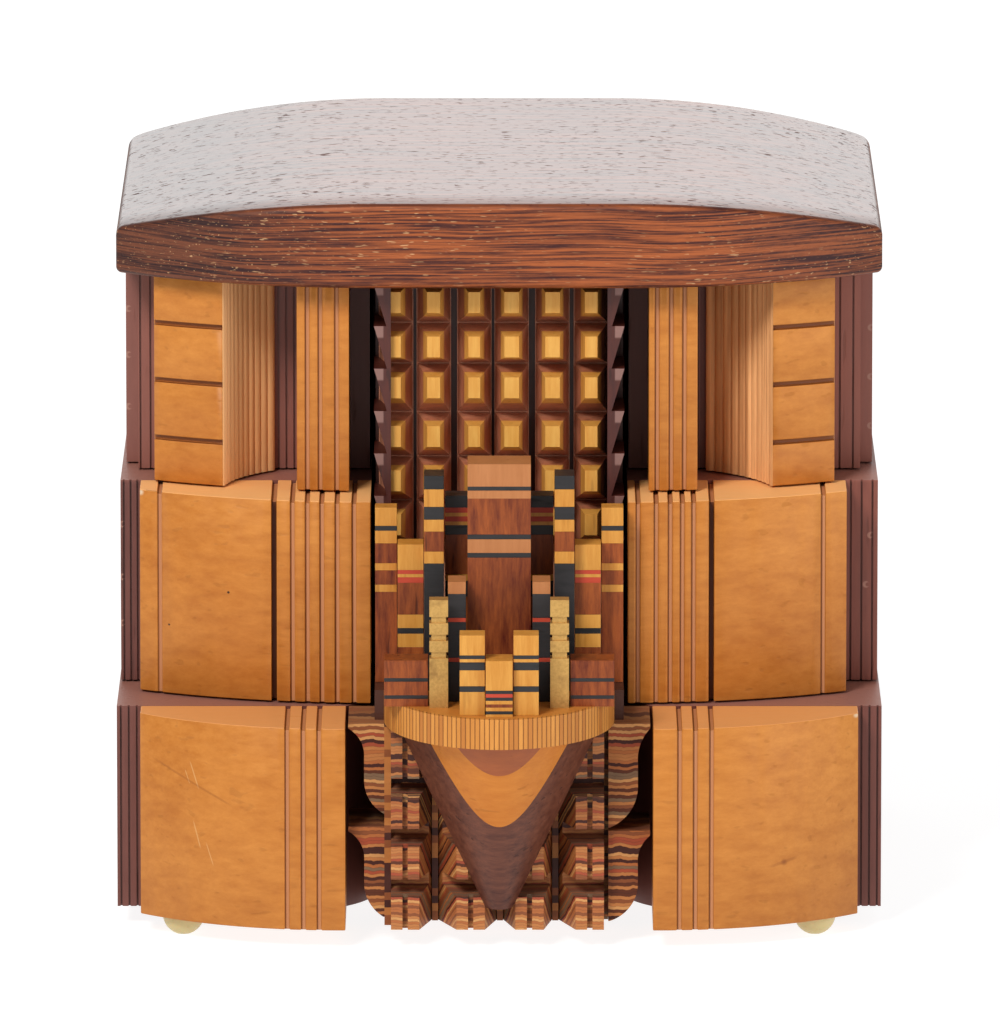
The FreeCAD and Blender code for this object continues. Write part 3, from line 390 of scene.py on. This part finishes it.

# %% [markdown]
# ## Pale fruitwood
# The bowed blocks are a fine, even orange-yellow fruitwood with a faint slanting figure, a little darker
# towards the foot of each block. Sawn grooves were never sanded: their floors are pinker and duller.
# Shade is painted on one edge of each groove, on the floor of the deep kerf of each middle block and on
# the grooves of the corner posts, and the top faces are painted lighter as painted light and sheen. Each
# block could have a second material on its groove faces, but that would mean choosing faces by hand. The
# masks above find them instead.

# %% Fruitwood recipe
PEAR_LIGHT, PEAR_DARK = seen(230, 154, 76), seen(200, 122, 52)
SAWN, POST_GROOVE_PAINTED_SHADE = seen(212, 147, 103), seen(150, 86, 44)
SHADED_EDGE, KERF_PAINTED_SHADE = seen(142, 86, 50), seen(110, 62, 38)
LOW_TOP_PAINTED_SHEEN, MID_TOP_PAINTED_SHEEN = (0.78, 0.35, 0.12), (0.98, 0.52, 0.20)
FOOT_TINT, FIGURE_TINT = (0.90, 0.87, 0.84), (0.84, 0.77, 0.68)
GROOVE_STARTS, KERF_STARTS = (0.0003, 0.00045), (0.0016, 0.002)
EDGE_HALF_WIDTH, EDGE_FROM_MIDDLE = (0.00014, 0.00028), 0.42


def edge_shade(place, grooves):
    """Mask of one edge of each groove. grooves are millimetres from the middle of the box."""
    nearest = None
    for groove in grooves:
        away = (place.axis("X") - (groove - EDGE_FROM_MIDDLE) / 1000.0).abs()
        nearest = nearest.min(away) if nearest else away
    return 1.0 - nearest.between(*EDGE_HALF_WIDTH)


def pear(name, tilt, seed, bow, foot, top, grooves=(), marks=(), sawn=SAWN, painted_top_sheen=LOW_TOP_PAINTED_SHEEN):
    """Fruitwood of a block. tilt slants its figure; marks are (mask, share, colour)."""
    def extra(place, colour):
        front, upper = facing(place, "Y", -1.0), facing(place, "Z", 1.0)
        rise = place.axis("Z").between(foot - 0.01, top)
        colour = rise.mix(colour.tint(FOOT_TINT), colour)
        bands = place.stretched((0.3, 0.5, 1.0), (0.0, tilt * 1.6, 0.0)).noise(330.0, 2.0, 0.5)
        colour = ((bands - 0.42) * 2.4).mix(colour, colour.tint(FIGURE_TINT))
        for mask, share, stain in marks:
            colour = (mask(place) * share).mix(colour, stain)
        # painted light and sheen: the top faces are made lighter and pinker than the wood
        colour = (upper * 0.85).mix(colour, painted_top_sheen)
        depth = behind_bow(place, *bow)
        grooved = front * depth.between(*GROOVE_STARTS)
        sunk = upper * (top - place.axis("Z")).between(*GROOVE_STARTS)
        cut_colour = edge_shade(place, grooves).mix(sawn, SHADED_EDGE) if grooves else sawn
        colour = grooved.max(sunk).mix(colour, cut_colour)
        # painted shade: the floor of the deep kerf is made dark
        return (front * depth.between(*KERF_STARTS)).mix(colour, KERF_PAINTED_SHADE)

    paint = wood_paint(PEAR_LIGHT, PEAR_DARK, (0.22, 1.0, 1.0), (0.0, tilt, 0.0), cloud=0.55, fibre=0.9,
                       pore=0.16, rough=0.46, seed=seed, extra=extra)
    material(name, paint, Specular_IOR_Level=0.3)


print("fruitwood recipe ready")

# %% [markdown]
# ## The marks of wear
# Two tiny beetle holes, a small knot, a few scratches and pale worn corners are where they are on the
# real box. They could be scattered at random, which is quicker, but then the box would be another one.

# %% Wear of the fronts
PALE, BEETLE_HOLE, BROWN, WORN = (seen(236, 186, 126), seen(52, 26, 14), seen(150, 86, 44),
                                  seen(244, 222, 190))

low_left_marks = [
    (scratch((-0.0766, 0.0458), (-0.0742, 0.0382), 0.0002), 0.5, PALE),
    (scratch((-0.0778, 0.0434), (-0.0765, 0.0395), 0.00016), 0.45, PALE),
    (scratch((-0.0758, 0.0309), (-0.0738, 0.0233), 0.0002), 0.5, PALE),
    (scratch((-0.0726, 0.0256), (-0.0706, 0.0193), 0.00018), 0.45, PALE),
    (scratch((-0.0870, 0.0456), (-0.0645, 0.0344), 0.00035), 0.35, BROWN),
]
low_right_marks = [
    (round_mark(0.0705, 0.0206, 0.0011, 0.9), 0.75, BROWN),
    (scratch((0.0665, 0.0196), (0.0742, 0.0217), 0.0005), 0.3, BROWN),
    (round_mark(0.0885, 0.0552, 0.0010, 0.8), 0.8, WORN),
]
mid_left_marks = [
    (round_mark(-0.0673, 0.0829, 0.00042), 0.95, BEETLE_HOLE),
    (round_mark(-0.0822, 0.0735, 0.00034), 0.9, BEETLE_HOLE),
    (round_mark(-0.0893, 0.1063, 0.0011, 0.8), 0.8, WORN),
]
print(len(low_left_marks + low_right_marks + mid_left_marks), "marks of wear")

# %% [markdown]
# ## The fruitwood pieces
# Each block was cut from another part of the plank and has its own saw cuts, so each gets its own version
# of the wood. One shared material would be shorter, but the figure would run on from block to block. The
# balcony's deck is plain fruitwood, with painted shade where it runs back beside the rounded part.

# %% Fruitwood pieces
LOW_BOW = (lid_front - 0.0348, 0.039, 0.071)
MID_BOW = (lid_front - 0.0044, 0.030, 0.110)
TOP_BOW = (lid_front + 0.008, 0.030, 0.110)
LOW_TIER, MID_TIER, TOP_TIER = (0.0048, 0.0556), (0.0561, 0.1069), (0.1074, 0.1594)
DECK_SIDE = (0.0280, 0.0284)

pear("pear_low_left", 0.10, 1.0, LOW_BOW, *LOW_TIER, (-44.5, -48.4, -52.4), low_left_marks)
pear("pear_low_right", -0.25, 2.0, LOW_BOW, *LOW_TIER, (44.5, 48.4, 52.4), low_right_marks)
pear("pear_mid_left", -0.1, 3.0, MID_BOW, *MID_TIER,
     (-36.0, -40.2, -44.0, -47.6, -51.3, -55.9, -84.5), mid_left_marks, painted_top_sheen=MID_TOP_PAINTED_SHEEN)
pear("pear_mid_right", 0.2, 4.0, MID_BOW, *MID_TIER,
     (34.4, 38.9, 42.4, 45.4, 48.2, 52.7, 80.6), painted_top_sheen=MID_TOP_PAINTED_SHEEN)
pear("pear_top", 0.25, 5.0, TOP_BOW, *TOP_TIER, (-40.4, -44.5, -47.7, 39.2, 42.7, 46.0))
# painted shade: the groove floors of the corner posts are made dark
pear("pear_post", 0.25, 5.5, TOP_BOW, *TOP_TIER, sawn=POST_GROOVE_PAINTED_SHADE)


def painted_shade_on_deck_sides(place, colour):
    """Painted shade on the straight sides of the deck."""
    return place.axis("X").abs().between(*DECK_SIDE).mix(colour, seen(92, 60, 50))


dress("pear_low_left", "base_left_front_block")
dress("pear_low_right", "base_right_front_block")
dress("pear_mid_left", "mid_left_front_block")
dress("pear_mid_right", "mid_right_front_block")
dress("pear_top", "top_left_pilaster", "top_right_pilaster")
dress("pear_post", "top_left_corner_post", "top_right_corner_post")
plain_wood("pear_plain", ["balcony_deck"], PEAR_LIGHT, PEAR_DARK, LENGTHWISE, cloud=0.3, fibre=0.3,
           pore=0.1, rough=0.46, seed=6.0, extra=painted_shade_on_deck_sides, gloss=0.3)

# %% [markdown]
# ## The cases
# The cases are a dense purple-brown wood with upright fibres and a dull oil finish, warmer on the right
# half of the box and paler at the top tier. Small pale crescents are let into their outer front strips.
# The strips in the deep slots beside the pilasters are painted dark as shade, and the up-facing ledges
# are painted lighter as sheen. The crescents could be cut as pieces, but they are tiny and flush with
# the wood, so they are masks: a disc less a smaller one beside it.

# %% Case wood
LEFT_CRESCENTS = ((-0.0930, 0.1464), (-0.0930, 0.1347), (-0.0930, 0.1215),
                  (-0.0943, 0.0957), (-0.0943, 0.0823), (-0.0943, 0.0706))
RIGHT_CRESCENTS = ((0.0932, 0.1416), (0.0932, 0.1291), (0.0932, 0.1166),
                   (0.0928, 0.0929), (0.0917, 0.0804))
CRESCENT_RADIUS, CRESCENT_INNER, CRESCENT_SHIFT = 0.00095, 0.0006, 0.0004
STRIP_SIDE, STRIP_FOOT = (0.0580, 0.0600), (0.1070, 0.1076)
STRIP_BACK = (lid_front + 0.030, lid_front + 0.034)


def tray_strips(place, colour):
    """Paler wood in the top tier, with painted shade on the strips beside its pilasters."""
    upper = place.axis("Z").between(0.1060, 0.1075)
    colour = (upper * 0.35).mix(colour, seen(190, 124, 108))
    # painted shade: the strips in the deep slots beside the pilasters are made dark
    strip = 1.0 - place.axis("X").abs().between(*STRIP_SIDE)
    strip = strip * (1.0 - place.axis("Y").between(*STRIP_BACK)) * place.axis("Z").between(*STRIP_FOOT)
    return (strip * 0.75).mix(colour, seen(72, 34, 26))


def case_wood(name, light, dark, seed, crescents=()):
    """Wood of the cases; those of the trays have crescents."""
    def extra(place, colour):
        right = place.axis("X").between(-0.02, 0.02)
        colour = right.mix(colour, colour.tint((1.0, 0.9, 0.84)))
        if crescents:
            colour = tray_strips(place, colour)
        # painted sheen: the up-facing ledges are made lighter, as where they mirror the bright surround
        colour = (facing(place, "Z", 1.0) * 0.7).mix(colour, seen(186, 132, 118))
        for x, z in crescents:
            outer = front_spot(place, x, z, CRESCENT_RADIUS, 0.25)
            inner = front_spot(place, x + CRESCENT_SHIFT, z, CRESCENT_INNER, 0.3)
            colour = ((outer - inner).max(0.0) * 0.6).mix(colour, seen(196, 150, 132))
        return colour

    paint = wood_paint(light, dark, (1.0, 1.0, 0.12), cloud=0.45, fibre=0.6, pore=0.4, rough=0.5,
                       seed=seed, extra=extra)
    material(name, paint, Coat_Weight=0.06, Coat_Roughness=0.3)


case_wood("purple_low", seen(140, 88, 78), seen(98, 54, 48), 7.0)
case_wood("purple_left", seen(142, 92, 84), seen(98, 57, 52), 7.5, LEFT_CRESCENTS)
case_wood("purple_right", seen(158, 98, 84), seen(110, 62, 54), 8.0, RIGHT_CRESCENTS)
dress("purple_low", "base_left_case", "base_right_case", "core_left_cheek", "core_right_cheek",
      "core_back_panel", "rod_plugs")
dress("purple_left", "mid_left_case", "top_left_case")
dress("purple_right", "mid_right_case", "top_right_case")

# %% [markdown]
# ## The lattice
# Six upright bars of a red-brown wood are sawn into blunt knobs, and a saw-toothed fin stands at each
# side. Little light falls between them, so the wood is made lighter towards the foot of the knobs, as a
# retoucher would lift a shadow. An extra lamp could do that, but would wash out the knobs. The tips of
# the teeth are grey end grain.

# %% Lattice woods
KNOB_FOOT = (lid_front + 0.013, lid_front + 0.026)
TOOTH_TOP, TOOTH_PITCH, TOOTH_TIP = 0.149, 0.0107, (0.24, 0.3)
FIN_SIDE = (0.0286, 0.0289)


def deep_light(place, colour):
    """Painted light towards the foot of the knobs, where little real light falls."""
    return (place.axis("Y").between(*KNOB_FOOT) * 0.75).mix(colour, seen(255, 184, 148))


def tooth_ends(place, colour):
    """Grey end grain on the tips of the saw teeth."""
    turn = ((TOOTH_TOP - place.axis("Z")) / TOOTH_PITCH).frac()
    tip = (1.0 - turn.between(*TOOTH_TIP)) * place.axis("X").abs().between(*FIN_SIDE)
    return (tip * facing(place, "Y", -1.0)).mix(colour, seen(150, 112, 104))


plain_wood("dark_wood", ["core_front_board"], seen(104, 54, 38), seen(58, 26, 18), (1.0, 1.0, 0.15),
           cloud=0.6, fibre=0.6, pore=0.4, rough=0.45, seed=9.0)
plain_wood("lattice_wood", ["lattice_bars"], seen(222, 140, 102), seen(146, 76, 52), (1.0, 1.0, 0.2),
           cloud=0.6, fibre=1.5, pore=0.6, rough=0.45, seed=9.5, extra=deep_light)
plain_wood("fin_wood", ["lattice_fins"], seen(110, 56, 44), seen(66, 30, 24), (1.0, 1.0, 0.2),
           cloud=0.6, fibre=0.8, pore=0.5, rough=0.45, seed=9.7, extra=tooth_ends)
plain_wood("lattice_satin", ["lattice_inlays"], seen(255, 202, 110), seen(226, 154, 68), UPRIGHT,
           cloud=0.4, fibre=1.0, pore=0.3, rough=0.45, seed=12.5, gloss=0.3)

# %% [markdown]
# ## The reeded coves
# Beside each corner post a hollow of pale wood has many narrow upright reeds, some of them darker. Cut as
# shapes they would be hundreds of slivers. A noise stretched far along the upright gives them, irregular
# as the real ones are, and also tilts the surface so that they catch the light.

# %% Reeded wood
REED_HEIGHT = 0.00025


def paint_reeds(place):
    """Pale wood with irregular upright reeds; the left cove is painted lighter, to lift the shade of its
    corner post.
    """
    flat = place.stretched((1.0, 0.35, 0.01), shift=(0.3, 0.0, 0.0))
    reeds = flat.noise(900.0, 2.0, 0.6)
    broad = flat.noise(240.0, 1.0)
    fibres = place.stretched((1.0, 1.0, 0.1)).noise(700.0, 4.0, 0.7)
    share = (reeds - 0.5) * 2.2 + (broad - 0.5) * 1.3 + (fibres - 0.5) * 0.8 + 0.62
    colour = share.mix((0.40, 0.17, 0.060), (0.84, 0.46, 0.20))
    # painted light in the left cove, which lies in the shade of its corner post
    left = 1.0 - place.axis("X").between(-0.03, 0.03)
    colour = (left * 0.5).mix(colour, (0.95, 0.58, 0.27))
    return colour, 0.55 + fibres * 0.15, reeds * REED_HEIGHT + fibres * FIBRE_HEIGHT


material("reed_wood", paint_reeds, Specular_IOR_Level=0.3)
dress("reed_wood", "top_left_cove", "top_right_cove")

# %% [markdown]
# ## Inside
# The insides can't be seen in the photograph. Plain light boards with dark red felt are usual in such a
# box. Felt could be made of hairs, but from this far a fine fuzz in colour and height looks the same.

# %% Boards and felt
plain_wood("floor_board", ["base_floors", "mid_left_floor", "mid_right_floor", "top_left_floor",
                           "top_right_floor", "core_floor"],
           srgb(206, 170, 118), srgb(170, 128, 80), DEEPWISE, seed=11.0, rough=0.6)


def paint_felt(place):
    fuzz = place.noise(1400.0, 4.0, 0.7)
    patch = place.noise(60.0, 2.0)
    share = (fuzz - 0.5) * 1.4 + (patch - 0.5) * 0.5 + 0.5
    return share.mix(srgb(58, 20, 22), srgb(110, 42, 44)), 0.95, fuzz * 0.0002


material("felt", paint_felt, Sheen_Weight=0.4, Sheen_Roughness=0.5)
dress("felt", "base_liners", "core_liner", "mid_left_liner", "mid_right_liner", "top_left_liner",
      "top_right_liner")

# %% [markdown]
# ## Woods of the little posts and the corbel
# The posts on the balcony are stacked from yellow satinwood, red-brown mahogany, black ebony, a red-dyed
# veneer and a tan wood. The corbel under it has three shells, one inside the other. Stripes could be
# painted on plain posts, but each layer is a piece of its own here, so each only needs its own wood.

# %% Veneers and corbel
plain_wood("satinwood", ["town_satinwood_layers"], seen(246, 184, 94), seen(206, 132, 52), UPRIGHT,
           cloud=0.5, fibre=1.0, pore=0.25, rough=0.45, seed=12.0, gloss=0.3)
plain_wood("mahogany", ["town_mahogany_layers"], seen(186, 102, 54), seen(98, 44, 22), (1.0, 1.0, 0.14),
           cloud=0.8, fibre=1.3, pore=0.7, rough=0.46, seed=13.0, gloss=0.3)
plain_wood("ebony", ["town_ebony_layers"], seen(66, 64, 66), seen(38, 34, 36), LENGTHWISE,
           cloud=0.4, fibre=0.7, pore=0.3, rough=0.45, seed=14.0, gloss=0.4)
plain_wood("redwood", ["town_redwood_layers"], seen(226, 96, 72), seen(182, 62, 46), LENGTHWISE,
           cloud=0.5, fibre=0.6, pore=0.2, rough=0.5, seed=15.0, gloss=0.3)
plain_wood("tan_wood", ["town_tan_layers"], seen(214, 146, 96), seen(178, 112, 66), UPRIGHT,
           cloud=0.4, fibre=0.7, pore=0.2, rough=0.5, seed=16.0, gloss=0.3)
plain_wood("orange_wood", ["corbel_middle"], seen(230, 148, 66), seen(202, 116, 44), LENGTHWISE,
           cloud=0.5, fibre=0.9, pore=0.25, rough=0.46, seed=17.0, gloss=0.3)
plain_wood("inner_mahogany", ["corbel_inner"], seen(184, 100, 52), seen(142, 72, 40), LENGTHWISE,
           cloud=0.4, fibre=0.9, pore=0.3, rough=0.5, seed=18.0)
plain_wood("corbel_dark", ["corbel_outer"], seen(128, 78, 60), seen(74, 42, 34), (0.12, 1.0, 1.0),
           cloud=0.7, fibre=1.4, pore=0.5, rough=0.5, seed=18.5, gloss=0.35)

# %% [markdown]
# ## Gilding
# Two slim posts are covered with leaf metal, speckled and rubbed through in places. Solid metal would
# look too new, so the shader is metal only in part, with duller patches over it.

# %% Gilt posts
def paint_gilt(place):
    speckle = place.noise(1500.0, 3.0, 0.7)
    rubbed = place.noise(160.0, 3.0).between(0.55, 0.75)
    colour = speckle.mix(srgb(164, 122, 62), srgb(228, 186, 112))
    return (rubbed * 0.6).mix(colour, srgb(124, 84, 46)), 0.38 + speckle * 0.25, speckle * 0.00006


material("gilt", paint_gilt, Metallic=0.75)
dress("gilt", "town_gilt_posts")

# %% [markdown]
# ## Striped block
# The carved front below the balcony was glued up from hundreds of veneers that lean backwards, then sawn
# and notched. Painting stripes facet by facet would never line up. Here they are worked out in space and
# run straight through every facet: on a front they are level and wavy, and on the flank of a column the
# same veneers show as steep fine lines.

# %% Striped glue-up
VENEERS = [(0.0, seen(212, 138, 80)), (0.2, seen(158, 92, 56)), (0.36, seen(84, 46, 32)),
           (0.48, seen(200, 120, 68)), (0.62, seen(146, 114, 86)), (0.70, seen(186, 90, 60)),
           (0.80, seen(110, 60, 40)), (0.92, seen(234, 170, 106))]
VENEER_WAVE = 0.0024


def stripes(lean, thickness, shift):
    """Paint of a glue-up; lean is how fast its veneers climb towards the back."""
    def paint(place):
        wave = place.stretched((1.0, 0.5, 0.4)).noise(190.0, 3.0, 0.6) * VENEER_WAVE
        level = (place.axis("Z") + place.axis("Y") * lean + wave + shift) / thickness
        colour = level.lot().pick(VENEERS)
        fibres = place.stretched((0.3, 0.3, 1.0)).noise(1100.0, 3.0)
        colour = colour.tint(fibres.mix((0.58, 0.52, 0.48), (1.0, 1.0, 1.0)), 0.7)
        glue_line = (level.frac() - 0.5).abs().between(0.34, 0.5)
        colour = (glue_line * 0.4).mix(colour, seen(60, 32, 22))
        # painted sheen: up-facing facets are made paler and greyer, as where they mirror the bright
        # surround
        colour = (facing(place, "Z", 1.0) * 0.5).mix(colour, seen(124, 92, 80))
        return colour, 0.5 + fibres * 0.2, fibres * 0.00004
    return paint


material("striped_columns", stripes(lean=0.85, thickness=0.00068, shift=0.2), Specular_IOR_Level=0.4)
material("striped_cups", stripes(lean=0.25, thickness=0.00082, shift=0.3), Specular_IOR_Level=0.3)
dress("striped_columns", "zebra_block", "zebra_columns")
dress("striped_cups", "zebra_left_bracket", "zebra_right_bracket")

# %% [markdown]
# ## Rim of the balcony
# The rim is faced with upright slips of veneer of nearly even width. Even steps from left to right would
# crowd them where the oval turns away. So a slip's place follows from the angle at which a point is seen
# from the oval's middle.

# %% Upright slips
RIM_HALF_WIDTH, SLIPS_PER_RADIAN = 0.0287, 24.0
SLIP_COLOURS = [(0.0, seen(234, 160, 80)), (0.4, seen(222, 148, 72)), (0.75, seen(208, 134, 66))]


def paint_slips(place):
    sine = (place.axis("X") / RIM_HALF_WIDTH).max(-0.999).min(0.999)
    slip = place.sum("ARCSINE", sine) * SLIPS_PER_RADIAN
    fibres = place.stretched((1.0, 1.0, 0.15)).noise(900.0, 3.0)
    colour = ((fibres - 0.4) * 0.8).mix(slip.lot().pick(SLIP_COLOURS), seen(186, 116, 60))
    joint = (slip.frac() - 0.5).abs().between(0.34, 0.48)
    return (joint * 0.85).mix(colour, seen(128, 76, 38)), 0.5, fibres * 0.00003 - joint * 0.0001


material("upright_slips", paint_slips, Specular_IOR_Level=0.3)
dress("upright_slips", "balcony_edge_strips")

# %% [markdown]
# ## Comb strips
# The strips in the grooves of the striped block are made of short dark and orange blocks. They are cut
# in the same way as the slips: whole steps of height, each with a colour drawn by lot.

# %% Comb strips
COMB_STEP, COMB_WAVE = 0.0019, 0.0006
COMB_COLOURS = [(0.0, seen(206, 132, 70)), (0.45, seen(84, 46, 32)), (0.72, seen(158, 92, 54))]


def paint_comb(place):
    block = (place.axis("Z") + place.noise(90.0) * COMB_WAVE) / COMB_STEP
    fibres = place.stretched((0.3, 0.3, 1.0)).noise(1100.0, 3.0)
    worn = fibres.mix((0.6, 0.57, 0.55), (1, 1, 1))
    return block.lot().pick(COMB_COLOURS).tint(worn, 0.6), 0.5, fibres * 0.00003


material("comb_blocks", paint_comb, Specular_IOR_Level=0.3)
dress("comb_blocks", "zebra_strips")

# %% [markdown]
# ## The lid
# One thick slab of a red-brown wood. Its front is oiled and shows long fine rows of grain with pale
# dashes, greyer at the ends. Its top is polished: seen at a low angle it mirrors the bright surround, and
# only the open pores and the worn edge above the front stay dark. It could be made paler on top, but then
# it would be pale from above too. A clear coat is pale only at a low angle, as on the real lid.

# %% Lid
LID_BOW = (lid_front, 0.030, 0.1011)
COAT_STRENGTH, DRIFT = 0.62, 0.006


def lid_grain(place, top):
    """Share of light wood: rows of grain that drift a little, and a plainer figure on the top."""
    drift = place.stretched((0.5, 0.5, 0.5)).noise(22.0, 2.0) * DRIFT
    lifted = place.node("CombineXYZ", {}, {0: place.axis("X"), 1: place.axis("Y") + drift,
                                           2: place.axis("Z") + drift})
    rows = lifted.stretched((0.016, 0.03, 1.0), shift=(2.0, 5.0, 1.0)).noise(2000.0, 1.5)
    broad = lifted.stretched((0.03, 0.05, 1.0), shift=(1.0, 2.0, 3.0)).noise(330.0, 3.0, 0.6)
    fibres = place.stretched((0.08, 0.3, 1.0)).noise(2600.0, 3.0, 0.7)
    front = rows.between(0.38, 0.62) * 0.75 + (broad - 0.5) * 1.2 + (fibres - 0.5) * 0.9 + 0.1
    across = place.stretched((0.05, 0.8, 1.0)).noise(420.0, 4.0, 0.65)
    return front + ((across - 0.5) * 2.0 + 0.42 - front) * top, fibres


def pale_flecks(place, left):
    """Mask of the pale dashes of the front, and of finer dots towards its left end."""
    dashes = place.stretched((0.12, 0.6, 1.0), (0.0, 0.02, 0.0)).noise(2200.0, 1.0).between(0.65, 0.72)
    dots = place.stretched((0.7, 0.7, 1.0)).noise(1900.0, 1.0).between(0.70, 0.76) * left
    patch = place.stretched((0.4, 1.0, 1.0)).noise(34.0, 2.0).between(0.4, 0.65)
    return (dashes * patch).max(dots)


def open_pores(place):
    """Mask of the short dark pores, which crowd in some places."""
    crowd = place.stretched((0.5, 1.0, 1.0)).noise(50.0, 2.0).between(0.35, 0.65)
    pores = place.stretched((0.30, 0.70, 1.0)).noise(1150.0, 1.0).between(0.62, 0.69)
    return pores * (crowd * 0.7 + 0.3)


def paint_lid(place):
    top = facing(place, "Z", 1.0)
    share, fibres = lid_grain(place, top)
    colour = share.mix(seen(70, 30, 20), seen(181, 99, 56))
    ends = place.axis("X").abs().between(0.045, 0.095)
    left = 1.0 - place.axis("X").between(-0.085, -0.02)
    colour = (ends * 0.5 + left * 0.7).mix(colour, colour.tint((0.42, 0.47, 0.80)))
    colour = (pale_flecks(place, left) * 0.65 * (1.0 - top)).mix(colour, seen(232, 184, 134))
    pores = open_pores(place)
    colour = (pores * 0.8 * top).mix(colour, seen(84, 34, 26))
    inward = behind_bow(place, *LID_BOW).between(0.001, 0.018)
    coat = top * (1.0 - pores * 0.95) * (inward * 0.75 + 0.25) * COAT_STRENGTH
    roughness = 0.52 - top * 0.2 + fibres * 0.08 + pores * top * 0.5
    return colour, roughness, fibres * FIBRE_HEIGHT - pores * 0.00009, coat


material("lid_wood", paint_lid, Coat_Roughness=0.2, Specular_IOR_Level=0.35)
dress("lid_wood", "lid_slab")

# %% [markdown]
# ## Metal and feet
# The rods are drawn steel, the washers brass, and the feet soft ivory-coloured domes. A plain grey would
# do for the hidden metal, but drawn steel has fine rings round it, and they cost one noise. The feet let
# a little light in, as soft plastic does.

# %% Metal and feet
def paint_steel(place):
    rings = place.stretched((1.0, 1.0, 8.0)).noise(300.0, 3.0)
    return rings.mix(srgb(150, 150, 152), srgb(196, 196, 198)), 0.28 + rings * 0.15, rings * 0.00001


def paint_brass(place):
    rings = place.noise(500.0, 3.0)
    return rings.mix(srgb(176, 140, 72), srgb(214, 182, 108)), 0.3 + rings * 0.15, rings * 0.00001


def paint_foot(place):
    cloud = place.noise(220.0, 3.0)
    dust = place.noise(900.0, 2.0).between(0.55, 0.8)
    colour = cloud.mix(seen(220, 198, 136), seen(238, 218, 160))
    return (dust * 0.3).mix(colour, seen(190, 166, 108)), 0.45 + dust * 0.2, cloud * 0.00004


material("drawn_steel", paint_steel, Metallic=1.0)
material("turned_brass", paint_brass, Metallic=1.0)
material("soft_foot", paint_foot, Subsurface_Weight=0.15, Subsurface_Scale=0.002)
dress("drawn_steel", "pivot_rods")
dress("turned_brass", "rod_washers")
dress("soft_foot", "feet")

# %% [markdown]
# ## Softened edges
# No sawn edge is perfectly sharp. A hair-fine bevel catches the light along the edges of the blocks, the
# posts and the little layers. It could be cut into the meshes, but as a modifier it leaves the imported
# shapes alone: the weld and the bevel are only for the render.

# %% Soft edges
SAME_POINT, SHARP_ANGLE = 0.000002, math.radians(40.0)


def soften(width, *node_names):
    """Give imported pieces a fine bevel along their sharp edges."""
    for node_name in node_names:
        piece = nodes[node_name]
        weld = piece.modifiers.new("weld", "WELD")
        weld.merge_threshold = SAME_POINT
        bevel = piece.modifiers.new("soft edge", "BEVEL")
        bevel.width = width
        bevel.segments = 2
        bevel.limit_method = "ANGLE"
        bevel.angle_limit = SHARP_ANGLE
        bevel.harden_normals = True
    print("softened", len(node_names), "pieces by", width * 1000.0, "mm")


soften(0.00025, "base_left_front_block", "base_right_front_block", "mid_left_front_block",
       "mid_right_front_block", "top_left_corner_post", "top_right_corner_post",
       "top_left_pilaster", "top_right_pilaster")
soften(0.0001, "town_satinwood_layers", "town_mahogany_layers", "town_ebony_layers",
       "town_redwood_layers", "town_tan_layers")

# %% [markdown]
# ## Last check
# Every imported piece must have one of the finishes above. One could look for that by eye, but a printed
# list misses nothing.

# %% Finishes
bare = [name for name, piece in nodes.items() if not piece.data.materials
        or piece.data.materials[0] not in list(materials.values())]
print("pieces without a finish:", bare)
